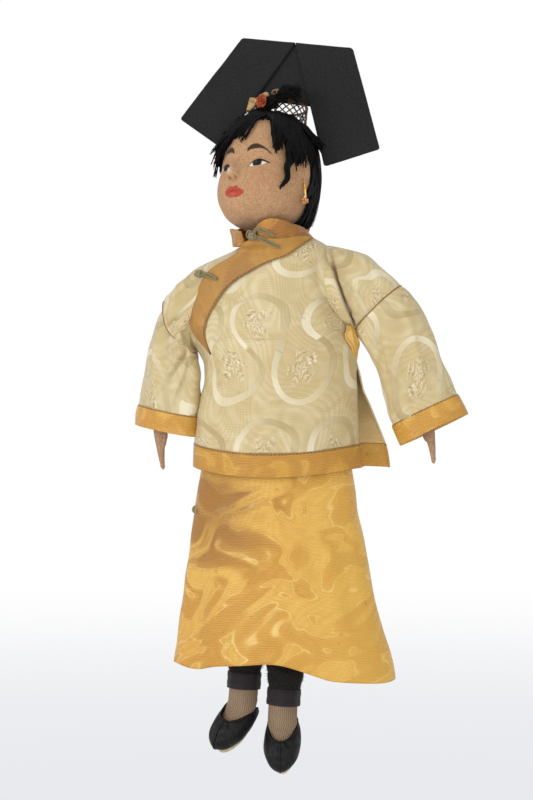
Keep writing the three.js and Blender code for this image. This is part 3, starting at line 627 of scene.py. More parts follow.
def ivory_damask():
    t = Finish("ivory_damask", 0.42, 0.35, sheen=0.25)
    figure, silk = t.placed(FIGURE, Vector=t.cut), t.silk(34.0, 9.0)
    age, weave = t.soil_and_shade(26.0), t.threads(0.7)
    ground = t.mixed(silk["Cloud"], (204, 183, 132), (217, 200, 156))
    ground = t.mixed(t.lifted(silk["Rib"], 0.11), ground, (238, 228, 196))
    ground = t.washed(ground, (236, 225, 190), silk["Line"], 0.1)
    ground = t.mixed(t.lifted(silk["Ring"], 0.15), ground, (184, 160, 106))
    ground = t.washed(ground, (190, 162, 106), age["Cloud"], 0.4)
    # The ribbon's tone follows its painted sheen.
    ribbon = t.mixed(figure["PaintedSheen"], (172, 150, 100), (244, 236, 208))
    toned = t.washed(ground, ribbon, figure["Ribbon"], 0.72)
    leaf = t.mixed(t.lifted(figure["Vein"], 0.5), (160, 130, 74), (240, 228, 192))
    toned = t.washed(toned, leaf, figure["Sprig"], 0.85)
    toned = t.washed(toned, (150, 112, 60), age["Spot"], 0.25)
    # Painted shade from the crease attribute, darkening creases and fold valleys.
    toned = t.washed(toned, (124, 98, 50), t.attribute("crease")["Fac"], 0.75)
    both = t.max(figure["Ribbon"], figure["Sprig"])
    height = t.mul_add(both, 0.8, t.mul(weave["Height"], 0.25))
    return t.done(toned, height, 0.16, t.ranged(both, 0.0, 1.0, 0.46, 0.3))


def gold_silk(name, size, lines, light, dark, pale, stitched=(), painted_shade_patch=None, vein=0.35):
    """Gold watered silk with stitching at distances along the cut, and a patch of painted shade at (middle,
    reach) with painted light towards the doll's left.
    """
    t = Finish(name, 0.4, 0.4, sheen=0.08)
    silk, age, weave = t.silk(size, lines), t.soil_and_shade(24.0), t.threads(0.7)
    toned = t.mixed(silk["Cloud"], dark, light)
    toned = t.washed(toned, pale, silk["Line"], vein)
    toned = t.mixed(t.lifted(silk["Rib"], 0.11), toned, pale)
    toned = t.mixed(t.lifted(silk["Ring"], 0.1), toned, dark)
    toned = t.washed(toned, dark, age["Cloud"], 0.3)
    if painted_shade_patch:
        # Painted shade: a darker patch round the given middle.
        middle, reach = Vector(painted_shade_patch[0]) * MM, painted_shade_patch[1] * MM
        near = t.node("ShaderNodeVectorMath", {0: t.place, 1: middle}, operation="DISTANCE").outputs["Value"]
        near = t.mul_add(silk["Cloud"], 0.4 * reach, near)
        toned = t.washed(toned, (148, 98, 38), t.ranged(near, 1.1 * reach, 0.35 * reach), 0.74)
        # Painted light: the silk turns paler towards the doll's left.
        painted_light_side = t.ranged(t.apart(t.place)[0], 0.0, 48 * MM, 0.0, 0.4)
        toned = t.mixed(painted_light_side, toned, (242, 194, 88))
    toned = t.washed(toned, (150, 96, 34), age["Spot"], 0.3)
    height = t.mul_add(silk["Rib"], 0.35, t.mul(weave["Height"], 0.3))
    u, v, _ = t.apart(t.cut)
    for off in stitched:
        seam = t.placed(STITCHES, Along=u, Off=t.sub(v, off), Pitch=1.9, Half=0.42)
        toned = t.washed(toned, (98, 76, 38), seam["Mask"], 0.7)
        height = t.sub(height, seam["Mask"])
    return t.done(toned, height, 0.12, t.ranged(silk["Line"], 0.0, 1.0, 0.44, 0.33))


def black_cloth(name, tone, pale, rough, fuzz, sheen):
    """Black felt or wool: fuzzy threads, a little dust and rubbed patches."""
    t = Finish(name, rough, 0.2, sheen=sheen)
    fuzzy, age = t.fibres(fuzz), t.soil_and_shade(22.0)
    toned = t.mixed(t.ranged(fuzzy["Height"], 0.3, 0.75), tone, pale)
    toned = t.washed(toned, pale, age["Cloud"], 0.25)
    toned = t.washed(toned, (96, 92, 88), fuzzy["Fleck"], 0.18)
    return t.done(toned, fuzzy["Height"], 0.25)


def face_cloth():
    """Tan felted cloth with brown flecks, painted where the face's paint attribute says, which also holds
    painted highlights and shade.
    """
    t = Finish("face_cloth", 0.86, 0.22, sheen=0.15)
    felt, age, paint = t.fibres(900.0), t.soil_and_shade(60.0), t.attribute("paint")
    toned = t.mixed(t.ranged(felt["Height"], 0.3, 0.72), (176, 134, 96), (202, 163, 124))
    toned = t.washed(toned, (122, 82, 52), felt["Fleck"], 0.5)
    toned = t.washed(toned, (160, 112, 76), age["Cloud"], 0.22)
    worn = t.ranged(felt["Height"], 0.2, 0.5, 0.88, 1.0)
    return t.done(t.washed(toned, paint["Color"], paint["Alpha"], worn), felt["Height"], 0.14)


def skin_cloth():
    t = Finish("skin_cloth", 0.88, 0.22, sheen=0.15)
    felt = t.fibres(900.0)
    toned = t.mixed(t.ranged(felt["Height"], 0.3, 0.72), (158, 122, 94), (190, 156, 126))
    return t.done(t.washed(toned, (120, 84, 58), felt["Fleck"], 0.4), felt["Height"], 0.16)


def hair_floss():
    t = Finish("hair_floss", 0.5, 0.16)
    height = t.placed(FIBRES, Vector=t.scaled(t.cut, 6.0, 0.25), Scale=1.0, Stretch=1.0)["Height"]
    toned = t.mixed(t.ranged(height, 0.3, 0.75), (5, 4, 4), (17, 14, 13))
    return t.done(toned, height, 0.3, t.ranged(height, 0.2, 0.8, 0.58, 0.4))


def woven(name, first, second, pitch, rough, depth, specular=0.25, on_cut=True):
    """A plain woven thread cloth, laid on its cut or else on its place in the doll."""
    t = Finish(name, rough, specular, sheen=0.1)
    if on_cut:
        weave = t.threads(pitch)["Height"]
    else:
        inputs = {"Vector": t.place, "Rotation": (0.5 * math.pi, 0, 0.3), "Scale": (1000, 1000, 1000)}
        laid = t.node("ShaderNodeMapping", inputs).outputs[0]
        weave = t.placed(THREADS, Vector=laid, Pitch=pitch)["Height"]
    toned = t.mixed(t.lifted(weave, 0.5), first, second)
    return t.done(t.washed(toned, first, t.soil_and_shade(70.0)["Cloud"], 0.35), weave, depth)


def stocking_knit():
    """Ribbed knit: raised wales round the foot, with painted shade in the channels between them."""
    t = Finish("stocking_knit", 0.9, 0.2, sheen=0.1)
    u, v, _ = t.apart(t.cut)
    wale = t.abs(t.sin(t.mul(u, math.pi / 1.15)))
    stitch = t.sin(t.mul(v, 2 * math.pi / 0.9))
    # Painted shade: the channels between the wales are darker.
    toned = t.mixed(t.ranged(wale, 0.1, 0.8), (130, 108, 87), (158, 136, 111))
    toned = t.washed(toned, (124, 100, 78), t.soil_and_shade(80.0)["Cloud"], 0.4)
    return t.done(toned, t.mul_add(stitch, 0.12, wale), 0.2)


def shoe_leather():
    t = Finish("shoe_leather", 0.45, 0.22)
    grain, age = t.fibres(420.0)["Height"], t.soil_and_shade(140.0)
    toned = t.mixed(t.ranged(grain, 0.3, 0.7), (9, 8, 8), (21, 19, 18))
    toned = t.washed(toned, (92, 84, 78), age["Spot"], 0.4)
    return t.done(toned, grain, 0.12, t.ranged(age["Cloud"], 0.0, 1.0, 0.42, 0.65))


def speckled(name, first, second, rough, scale, depth, specular=0.3, metal=0.0, coat=0.0):
    """A material with grain in its colour and surface, such as a cut sole, cane, wire or beads."""
    t = Finish(name, rough, specular, metal, coat=coat)
    grain = t.fibres(scale)["Height"]
    toned = t.mixed(t.ranged(grain, 0.3, 0.7), first, second)
    return t.done(t.washed(toned, first, t.soil_and_shade(scale * 0.2)["Cloud"], 0.4), grain, depth)


def bead_glass():
    t = Finish("bead_glass", 0.12, 0.6, coat=0.6)
    t.link(0.25, t.shader, "Transmission Weight")
    streak = t.fibres(500.0, 0.4)["Height"]
    return t.done(t.mixed(streak, (196, 96, 30), (244, 176, 96)), streak, 0.04)


def cord_silk():
    """Twisted cord: slanting plies of olive and straw thread."""
    t = Finish("green_cord", 0.6, 0.3, sheen=0.2)
    u, v, _ = t.apart(t.cut)
    ply = t.sin(t.mul(t.mul_add(v, 0.75, u), 4 * math.pi))
    toned = t.mixed(t.lifted(ply, 0.5), (140, 126, 80), (208, 196, 148))
    return t.done(t.washed(toned, (164, 150, 100), t.soil_and_shade(200.0)["Cloud"], 0.5), ply, 0.3)


IVORY = ivory_damask()
# The skirt silk has a patch of painted shade at its upper front on the doll's right, and painted light towards
# its left.
SKIRT_SILK = gold_silk("skirt_silk", 34.0, 7.0, (227, 178, 80), (200, 141, 46), (247, 214, 132), vein=0.8,
                       painted_shade_patch=((-30, -20, -58), 50))
BAND_SILK = gold_silk("band_silk", 24.0, 4.0, (213, 160, 62), (184, 128, 44), (234, 190, 96), (11.7,))
CUFF_SILK = gold_silk("cuff_silk", 20.0, 4.0, (222, 170, 76), (196, 140, 52), (240, 200, 112), (0.4,))
LAPEL_SILK = gold_silk("lapel_silk", 26.0, 3.0, (190, 140, 61), (159, 110, 47), (206, 158, 79), (0.5,))
COLLAR_SILK = gold_silk("collar_silk", 20.0, 3.0, (194, 135, 54), (150, 95, 36), (215, 164, 80))
# A paler copy of the lining silk: painted light on the inside of the back panel, which lies in shadow.
LIT_BACK_LINING = gold_silk("lit_back_lining", 20.0, 4.0, (250, 234, 176), (244, 218, 150), (252, 242, 206))
LINING_SILK = gold_silk("lining_silk", 20.0, 4.0, (236, 198, 110), (222, 176, 86), (246, 218, 150))
BOARD_CLOTH = black_cloth("board_cloth", (27, 27, 28), (44, 43, 43), 0.9, 1500.0, 0.05)
WOOL = black_cloth("black_wool", (20, 18, 18), (42, 38, 38), 0.95, 900.0, 0.15)
FACE = face_cloth()
SKIN = skin_cloth()
HAIR = hair_floss()
MUSLIN = woven("muslin", (196, 182, 152), (222, 210, 184), 0.8, 0.9, 0.1, on_cut=False)
SEAM_THREAD = woven("seam_thread", (128, 102, 58), (170, 142, 92), 0.9, 0.7, 0.05)
RIBBON = woven("ankle_ribbon", (33, 26, 30), (46, 38, 43), 0.7, 0.6, 0.08)
STOCKING = stocking_knit()
LEATHER = shoe_leather()
SOLE = speckled("sole_board", (196, 178, 138), (232, 218, 182), 0.85, 300.0, 0.1)
WIRE = speckled("net_wire", (64, 48, 34), (120, 92, 62), 0.45, 400.0, 0.05, 0.5, 0.5)
GILT = speckled("gilt_wire", (196, 132, 44), (250, 204, 112), 0.25, 400.0, 0.04, 0.5, 0.9)
PETAL = speckled("petal_cloth", (126, 44, 26), (192, 104, 62), 0.8, 500.0, 0.2)
CANE = speckled("cane", (146, 112, 66), (214, 184, 134), 0.65, 260.0, 0.15)
GLASS = bead_glass()
PEARL = speckled("pearl", (214, 196, 164), (248, 238, 216), 0.25, 300.0, 0.03, 0.5, coat=0.5)
CORD = cord_silk()


def settle(obj, body, nodes):
    """Hides the solids a piece stands for and, unless it is blended, hangs it on the body it rides on."""
    if body:
        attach(obj, body)
    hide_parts(*nodes)
    return obj


# Jacket

JACKET = [(-44, 44.5, 29), (0, 42.8, 25.5), (21, 42.5, 23.5), (50, 33.5, 20.5), (70, 26, 17.5), (74, 20, 16)]
SHOULDER_TOP, NECKLINE, HEM, HEM_BAND = 70.0, 74.0, -44.0, 12.5
ARMPIT = {"left": 32.0, "right": 21.0}
ARMHOLE_HALF = 10.5
PANEL_COLUMNS = 150
SILK_WALL, HEM_WALL, WOOL_WALL = 0.7, 0.9, 0.9
HEART = (0.0, 0.0, 10.0)


def jacket_oval(z):
    return oval(JACKET, z)


def armhole_crease(points):
    """How far points lie past the crease at the left armhole, and how much of it reaches them."""
    x, y, z = np.moveaxis(np.asarray(points, float), -1, 0)
    return (x - 29.5) - (66 - z) * 0.37, ease(z, 28, 37) * (1 - ease(z, 62, 70)) * ease(-y, 0, 8)


def painted_crease_shade(points):
    """Painted shade along the armhole crease, which also darkens the sleeve beside it."""
    off, depth = armhole_crease(points)
    return depth * (0.8 * hump(off - 0.7, 1.0) + 0.3 * ease(off, 0, 1.5) * (1 - ease(off, 2, 9)))


def fitted(points):
    """The jacket as it hangs: left shoulder high, right front over the sleeve, hem fuller in the middle."""
    p = np.array(points, float)
    x, z = p[..., 0].copy(), p[..., 2].copy()
    p[..., 2] += 5.0 * ease(x, 6, 24) * (1 - ease(x, 46, 66)) * ease(z, 40, 66)
    p[..., 0] -= 9.0 * ease(-x, 10, 28) * (1 - ease(-x, 40, 72)) * ease(z, 12, 36) * (1 - ease(z, 62, 74))
    off, depth = armhole_crease(p)
    p[..., 1] += (4.0 * hump(off - 0.9, 1.4) - 1.8 * hump(off + 2.4, 2.4)) * depth
    p[..., 0] += 2.2 * hump(off + 1.4, 1.6) * depth
    p[..., 0] += 4.0 * ease(-x, 20, 40) * (1 - ease(-x, 45, 50)) * hump(z - 9, 16)
    p[..., 2] += 4.2 * np.minimum(np.abs(x) / 44, 1) ** 2 * ease(-z, 0, 34)
    return p


def armhole_edge(z, low):
    """Half the armhole's width at a height; its lower end is closed, so a raised arm bares cloth."""
    share = (z - 0.5 * (low + SHOULDER_TOP)) / (0.5 * (SHOULDER_TOP - low))
    return np.maximum(0.15, ARMHOLE_HALF * np.sqrt(np.clip(1 - share**2, 0, 1)) * ease(z, 42, 50))


def panel_grid(facing, heights, out=0.0, spread=1.0):
    """A front or back panel between the armholes, and how far across it each point lies."""
    a, b = (value[:, None] + out for value in jacket_oval(heights))
    edges = {name: armhole_edge(heights, low)[:, None] / (b - out) for name, low in ARMPIT.items()}
    share = np.linspace(-1, 1, PANEL_COLUMNS)[None, :] + np.zeros((len(heights), 1))
    angle = share * np.arccos(np.clip(np.where(share > 0, edges["left"], edges["right"]), 0, 1)) * spread
    grid = tube(angle, heights[:, None], a, facing * b)
    return (flared(grid, share) if facing < 0 else grid), share


def on_jacket(x, z, out):
    """A point on the jacket's front at a place across and a height."""
    a, b = jacket_oval(z)
    side = np.clip(x / a, -0.995, 0.995)
    normal = np.stack([side * b, -np.sqrt(1 - side**2) * a, np.zeros_like(side)], -1)
    normal /= np.linalg.norm(normal, axis=-1, keepdims=True)
    return np.stack([x, -b * np.sqrt(1 - side**2), z + 0 * x], -1) + normal * np.asarray(out)[..., None]


def flared(grid, share):
    """The back panel springs out at the open slit on the doll's left."""
    amount = ease(share, 0.45, 1.0) * ease(20 - grid[..., 2], 0, 62)
    grid = grid.copy()
    grid[..., 0] += 13.0 * amount
    grid[..., 1] += 9.0 * amount
    return grid


BAND_TOP = HEM + HEM_BAND - 0.3
PANEL_HEIGHTS = np.r_[
    np.linspace(BAND_TOP, 20, 66), np.linspace(20, 66, 60)[1:], np.linspace(66, NECKLINE, 22)[1:]]
BAND_HEIGHTS = np.linspace(HEM, BAND_TOP, 22)
FRONT_FOLDS = [
    (24, 66, 38, 26, 4.0, -1.3), (20, 60, 36, 12, 4.5, 0.9), (-30, 30, -14, -10, 6.0, 0.8),
    (36, 18, 20, -28, 6.0, 0.8), (-38, 14, -24, 4, 4.0, -0.9), (2, 40, 6, -30, 11.0, 0.9),
    (30, 24, 8, 34, 5.0, 0.6),
]


def make_panel(facing, name, sizes, drape, seed, wall, lining=None):
    """One panel of the jacket with its swell, smooth at the neckline and beside the armholes."""
    grid, share = panel_grid(facing, PANEL_HEIGHTS)
    u, v = grid[..., 0], grid[..., 2]
    swell = sizes[0] * ripple(u, v, 34, seed) + sizes[1] * ripple(u, v, 15, seed + 1)
    flat = (1 - ease(v, 60, 74)) * (1 - ease(np.abs(share), 0.82, 1.0) * ease(v, 13, 21))
    hung = pushed(grid, (folds(u, v, drape) + swell) * flat, HEART)
    # Painted shade along the armhole crease, on the front panel only.
    soil_and_shade = None if lining else painted_crease_shade(hung)
    panel = cloth(f"jacket_{name}_silk", fitted(hung), IVORY, HEART, wall=wall, soil_and_shade=soil_and_shade, lining=lining)
    return settle(panel, "torso", [f"jacket_{name}"])


def make_jacket_body():
    front = make_panel(1, "front", (0.55, 0.25), FRONT_FOLDS, 3, SILK_WALL)
    back = make_panel(-1, "back", (0.6, 0.3), [], 5, SILK_WALL, LIT_BACK_LINING)

    for facing, name in ((1, "front"), (-1, "back")):
        grid, _ = panel_grid(facing, BAND_HEIGHTS, 0.7, 1.02)
        swell = 0.5 * ripple(grid[..., 0], 0.6 * grid[..., 2], 30, 8 + facing)
        hung = fitted(pushed(grid, swell, HEART))
        band = cloth(f"hem_band_{name}_silk", hung, BAND_SILK, HEART, wall=HEM_WALL, lining=LINING_SILK)
        settle(band, "torso", [f"hem_band_{name}"])

    heights = np.linspace(HEM + HEM_BAND, ARMPIT["left"] + 2, 90)[:, None]
    turned_out = hump(heights - 28, 9)
    lap = np.linspace(0, 1, 24)[None, :]
    angle = 0.5 * math.pi + 0.075 - (0.125 + 0.36 * turned_out) * lap
    rumple = 1.8 * ease(lap, 0, 0.3) + 2.2 * np.sin(math.pi * lap) + 1.2 * ripple(24 * lap, heights, 5, 60)
    a, b = (value - 0.9 + turned_out * rumple for value in jacket_oval(heights))
    facing_strip = cloth("slit_facing_silk", fitted(tube(angle, heights, a, b)), LINING_SILK, HEART, wall=0.4)
    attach(facing_strip, "torso")


LAPEL_LOW = [(19, 73.8), (13.6, 70.7), (2.9, 67.0), (-7, 62.4), (-14.4, 57.4), (-18.2, 51.6), (-21.6, 43.7),
             (-25.4, 31.3), (-29.8, 18.6)]
LAPEL_HIGH = [(19, 75.4), (12, 77.8), (4, 78.4), (-4, 78.4), (-11, 76.8), (-16, 72.6), (-19.6, 68.4),
              (-23.4, 63), (-27.9, 56), (-33.4, 45.7), (-34.8, 32), (-31.0, 18.6)]
COLLAR_MIDDLE, COLLAR_RADIUS = -3.5, 19.4


def make_lapel():
    low, high = along(LAPEL_LOW, 110), along(LAPEL_HIGH, 110)
    across = np.linspace(0, 1, 18)[None, :, None]
    x, z = np.moveaxis(low[:, None] * (1 - across) + high[:, None] * across, -1, 0)
    out = 1.2 + 0.25 * ripple(x, z, 16, 12) + 0.5 * np.sin(math.pi * across[..., 0])
    grid = on_jacket(x, z, out)
    round_neck = (COLLAR_RADIUS + 1.7) ** 2 - (x - COLLAR_MIDDLE) ** 2
    over = ease(z, 71, 76) * ease(round_neck, 20, 90)
    grid[..., 1] = grid[..., 1] * (1 - over) - np.sqrt(np.maximum(round_neck, 20)) * over
    uv = lengths(grid)
    uv = np.stack([uv[..., 1], uv[..., 0] - uv[:, :1, 0]], -1)
    lapel = cloth("lapel_facing_silk", fitted(grid), LAPEL_SILK, HEART, uv, wall=0.5)
    settle(lapel, "torso", ["lapel_facing"])


COLLAR_TOP = [(-5, 84.4), (0, 86.2), (6, 87.4), (14, 88.3), (26, 88.3), (40, 87.0), (60, 83.4), (79, 80.6),
              (105, 80.8), (140, 84.0), (180, 86.0), (235, 85.4), (270, 83.6), (285, 83.4), (300, 82.4),
              (318, 83.2), (333, 82.0)]


def make_collar():
    degrees = np.linspace(COLLAR_TOP[0][0], COLLAR_TOP[-1][0], 200)[None, :]
    angle = np.radians(degrees)
    rise = np.linspace(0, 1, 26)[:, None]
    crumple = 0.6 * np.sin(9 * angle + 2.5 * rise) + 0.9 * ripple(degrees * 0.34, 12 * rise, 9, 15)
    rolled = 1.5 * np.sin(math.pi * rise) * hump(degrees - 45, 45) + 0.8 * rise**2 * hump(degrees - 25, 30)
    rolled = rolled + 1.3 * rise**2 * (hump(degrees - 330, 50) + hump(degrees + 10, 40))
    foot = (1 - rise) ** 3 * hump(degrees - 90, 33)
    radius = COLLAR_RADIUS + 0.35 * rise + rolled + crumple * rise * (1.2 - 0.5 * rise)
    radius = radius + 0.3 * np.sin(4 * angle) + 4.8 * foot
    sewn = NECKLINE + 0.4
    top = through(COLLAR_TOP, degrees)[..., 0] + 0.4 * np.sin(5 * angle + 1)
    height = sewn + (top - sewn) * rise - 0.8 * foot
    tip = hump(degrees - 333, 12) * rise
    middle = COLLAR_MIDDLE - 1.2 * tip
    grid = np.stack([middle + radius * np.sin(angle), -radius * np.cos(angle) - 1.6 * tip, height], -1)
    collar = cloth("collar_silk", fitted(grid), COLLAR_SILK, (COLLAR_MIDDLE, 0, 80), wall=0.9)
    settle(collar, "torso", ["collar"])


def knot_runs(middle, size):
    """Runs of cord that cross over each other into a round knot."""
    turn = np.linspace(0, 2 * math.pi, 40)
    runs = []
    for lean, spin in ((20, 0), (75, 40), (75, 100), (50, 160)):
        loop = np.stack([np.cos(turn), 0.9 * np.sin(turn), 0.18 * np.sin(3 * turn)], -1) * size
        runs.append(loop @ turned(("Z", spin), ("X", lean)).T + middle)
    return runs


def make_frog(name, solid, knot, size, tails, cord=0.8):
    """A knotted cord button with its cord tails laid along the cloth, each doubled into a loop."""
    runs = knot_runs(np.asarray(knot, float), size)
    widths = [cord * 0.9] * len(runs)
    for tail in tails:
        path = along(tail, 26)
        aside = np.cross(np.gradient(path, axis=0), [0, -1, 0])
        aside /= np.maximum(np.linalg.norm(aside, axis=1, keepdims=True), 1e-6)
        opened = np.sin(np.linspace(0, math.pi, len(path)))[:, None] * 0.35 + 0.62
        runs.append(np.concatenate([path + aside * cord * opened, (path - aside * cord * opened)[::-1]]))
        widths.append(cord * 0.8)
    settle(cords(name, runs, widths, CORD), "torso", [solid])


def make_frogs():
    neck = np.array([-7.0, -22.6, 79.4])
    steps = [[(0, 0, 0), (4, 0.5, -1.2), (8.6, 1.5, -3.4), (13.0, 3.6, -5.6)],
             [(0, 0, 0), (1.6, 0.6, 3.6), (6.0, 0.9, 2.6), (10.6, 1.8, 0.4)],
             [(0, 0, 0), (-1.8, 0.5, 2.4), (-3.0, 1.2, 1.0), (-1.6, 0.6, -1.4)]]
    make_frog("collar_frog_cord", "frog_collar", neck, 1.7, [neck + np.array(step) for step in steps], 0.56)
    rows = [[(-27.0, 60.4), (-24.4, 60.0), (-22.0, 58.8), (-20.4, 57.8)],
            [(-27.0, 60.4), (-28.4, 61.2), (-29.8, 60.8), (-30.6, 59.6)]]
    tails = [fitted(on_jacket(*np.array(row, float).T, 2.6)) for row in rows]
    knot = fitted(on_jacket(*np.array(rows[0][0]), 3.2))
    make_frog("chest_frog_cord", "frog_chest", knot, 1.8, tails, 0.72)


# Sleeves

def spun(vector, axis, degrees):
    angle = math.radians(degrees)
    vector, axis = np.asarray(vector, float), np.asarray(axis, float)
    return (vector * math.cos(angle) + np.cross(axis, vector) * math.sin(angle)
            + axis * np.dot(axis, vector) * (1 - math.cos(angle)))


SLEEVE_COLUMNS = 140
SEAM = {"left": ((1.0, 0, 1.5), 20.4), "right": ((3.2, 0, -2.5), 17.6)}
SEAM_LIFT = {"left": (-2.6, 0, 11.6), "right": (0, 0, 0)}
RING = np.linspace(0, 2 * math.pi, SLEEVE_COLUMNS, endpoint=False)
SLEEVE_DEEP, SLEEVE_LONG = 10.2, 48.0


def sleeve_ring(name, run, long, half, deep):
    """A flattened ring across a sleeve that runs one way, from its long edge on and round by the front."""
    long = spun(long, run, ARM[name][2])
    front = -SIDES[name] * np.cross(long, run)
    return np.outer(half * np.cos(RING), long) + np.outer(deep * np.sin(RING), front)


def armhole_ring(name):
    low = ARMPIT[name]
    z = 0.5 * (low + SHOULDER_TOP) + 0.5 * (SHOULDER_TOP - low) * np.cos(RING)
    y = -ARMHOLE_HALF * np.sin(RING)
    a, b = jacket_oval(z)
    return np.stack([SIDES[name] * a * np.sqrt(1 - (y / b) ** 2), y, z], -1)


def seam_ring(name):
    """Where the upper and the lower sleeve are sewn together."""
    side, (shift, half) = SIDES[name], SEAM[name]
    angle = math.radians(90 - ARM[name][0])
    run = np.array([side * math.cos(angle), 0, -math.sin(angle)])
    long = [side * math.sin(angle), 0, math.cos(angle)]
    lift = np.outer(0.5 - 0.5 * np.cos(RING), SEAM_LIFT[name])
    return elbow_of(name) + shift + sleeve_ring(name, run, long, half, SLEEVE_DEEP) + lift


UPPER_FOLDS = {
    "left": [(70, 4, 90, 30, 3.0, 1.2), (100, 2, 120, 24, 3.0, -1.2)],
    "right": [(60, 2, 75, 30, 3.0, 1.5), (95, 4, 110, 30, 2.6, -1.7), (40, 5, 55, 26, 3.5, 1.2),
              (120, 6, 128, 32, 2.6, 1.4)],
}
LOWER_FOLDS = {
    "left": [(95, 0, 120, 20, 3.5, -1.5), (150, 0, 120, 16, 3.0, 1.3), (40, 4, 70, 40, 6.0, 1.0),
             (110, 20, 80, 46, 5.0, 1.1), (70, 30, 110, 44, 3.5, -1.1)],
    "right": [(142, 0, 92, 22, 3.2, 2.6), (152, 4, 105, 30, 2.6, -2.6), (132, -4, 78, 12, 2.6, -2.3),
              (60, 8, 90, 44, 5.0, 1.6), (146, 14, 120, 46, 3.0, 1.7), (120, 26, 70, 44, 3.4, -1.4)],
}
CROWN_RISE = {"left": 3.0, "right": -1.0}
BULGE = {"left": 4.0, "right": 0.5}
DRIFT = {"left": 2.4, "right": 2.6}
HALF_WIDTH = {"left": 18.0, "right": 19.4}
TUCK = {"left": 3.8, "right": 0.0}
LENGTHENED = {"left": 1.06, "right": 1.0}


def sleeve_rows(name, downs, grow=0.0):
    """Rings of the sleeve below the seam, in the body's frame."""
    side, where = SIDES[name], forearm_frame(name)
    bend = math.radians(ARM[name][0] - ARM[name][1])
    rows = []
    for down in downs:
        share = min(down / SLEEVE_LONG, 1)
        tilt = bend * (1 - share) ** 1.5
        run = np.array([side * math.sin(tilt), 0, -math.cos(tilt)])
        long = [side * math.cos(tilt), 0, math.sin(tilt)]
        top = BULGE[name] * hump(down - 14, 14) * np.maximum(np.cos(RING), 0) ** 2
        tuck = TUCK[name] * hump(down - 19, 15) * np.maximum(-np.cos(RING), 0) ** 2
        half = HALF_WIDTH[name] + 0.8 * share + grow + top - tuck
        ring = sleeve_ring(name, run, long, half, SLEEVE_DEEP + grow)
        ring[:, 2] -= down * LENGTHENED[name]
        rows.append(put(ring, where) + (DRIFT[name], 0, 0))
    rows = np.array(rows)
    blend = (1 - ease(np.asarray(downs), 0, 16))[:, None, None]
    return rows * (1 - blend) + (rows + (seam_ring(name) - rows[:1])) * blend


def make_sleeve(name):
    side, where = SIDES[name], forearm_frame(name)
    upper_arm, forearm = f"{name}_upper_arm", f"{name}_forearm"
    start, seam = armhole_ring(name), seam_ring(name)
    share = np.linspace(-0.07, 1, 64)[:, None]
    arch = np.sin(math.pi * np.clip(share, 0, 1))
    grid = start * (1 - share[..., None]) + seam * share[..., None]
    grid[..., 2] += CROWN_RISE[name] * np.maximum(np.cos(RING), 0) ** 1.5 * arch
    around, down = np.degrees(RING)[None, :], 34 * share
    swell = 0.5 * ripple(around * 0.35, down, 14, 20 + side)
    drape = (folds(around, down, UPPER_FOLDS[name]) + swell) * arch**0.7
    drape = drape - 0.6 * ease(share, 0.93, 1.0) + 0.35 * hump(share - 0.88, 0.06)
    middle = 0.5 * (start.mean(0) + seam.mean(0))
    hung = pushed(grid, drape, middle, True)
    # Painted shade in the armhole crease and in the valleys of the folds.
    soil_and_shade = painted_crease_shade(hung) + 0.5 * ease(-drape, 0.9, 2.4)
    hung = fitted(hung)
    upper = cloth(f"{name}_sleeve_upper_silk", hung, IVORY, middle, wrap=True, wall=SILK_WALL, soil_and_shade=soil_and_shade)
    settle(upper, None, [f"{name}_sleeve_upper"])
    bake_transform(upper)

    hand = put([0, 0, -24], where)
    down = np.linspace(0.4, SLEEVE_LONG, 76)[:, None]
    drape = folds(around, down, LOWER_FOLDS[name]) * ease(down, 0, 7)
    drape = drape + 0.55 * ripple(around * 0.35, down, 18, 30 + side) * ease(down, 0, 10)
    drape = drape - 0.6 * (1 - ease(down, 0.4, 2.4)) + 0.3 * hump(down - 4, 2)
    hung = pushed(sleeve_rows(name, down[:, 0]), drape, hand, True)
    # Painted shade in the valleys of the folds.
    soil_and_shade = 0.5 * ease(-drape, 0.9, 2.6)
    lower = cloth(f"{name}_sleeve_lower_silk", hung, IVORY, hand, wrap=True, wall=SILK_WALL, soil_and_shade=soil_and_shade)
    settle(lower, None, [f"{name}_sleeve_lower"])
    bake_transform(lower)

    down = np.r_[np.linspace(47.2, 48.4, 4), np.linspace(48.6, 58, 20)][:, None]
    swell = 0.6 * ripple(around * 0.35, down, 20, 40 + side) * ease(down, 48, 55)
    swell = swell - 0.5 * (1 - ease(down, 47, 48.6))
    hung = pushed(sleeve_rows(name, down[:, 0], 0.7), swell, hand, True)
    cuff = cloth(f"{name}_cuff_silk", hung, CUFF_SILK, hand, wrap=True, wall=HEM_WALL, lining=LINING_SILK)
    settle(cuff, forearm, [f"{name}_cuff"])

    path = np.concatenate([seam, seam[:1]])
    outward = path - seam.mean(0)
    path = fitted(path - 0.5 * outward / np.linalg.norm(outward, axis=1, keepdims=True))
    stitch = cords(f"{name}_sleeve_seam", [path], [0.24], SEAM_THREAD, 6)
    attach(stitch, upper_arm)


def limb(name, rows, where, material, columns=48):
    """A stuffed form from rows of (along, x, y, half width, half depth), closed at both ends."""
    rows = np.array(rows, float)
    step = np.r_[0, np.cumsum(np.abs(np.diff(rows[:, 0])) + 0.01)]
    fine = through(np.c_[step, rows], np.linspace(0, step[-1], 60))
    turn = np.linspace(0, 2 * math.pi, columns, endpoint=False)
    z, x, y, wide, deep = fine.T[..., None]
    wide, deep = np.maximum(wide, 0.05), np.maximum(deep, 0.05)
    grid = np.stack([x + wide * np.cos(turn), y + deep * np.sin(turn), z + 0 * turn], -1)
    low, high = (put(end.mean(0), where) for end in (grid[0], grid[-1]))
    return closed_form(name, put(grid, where), low, high, material)


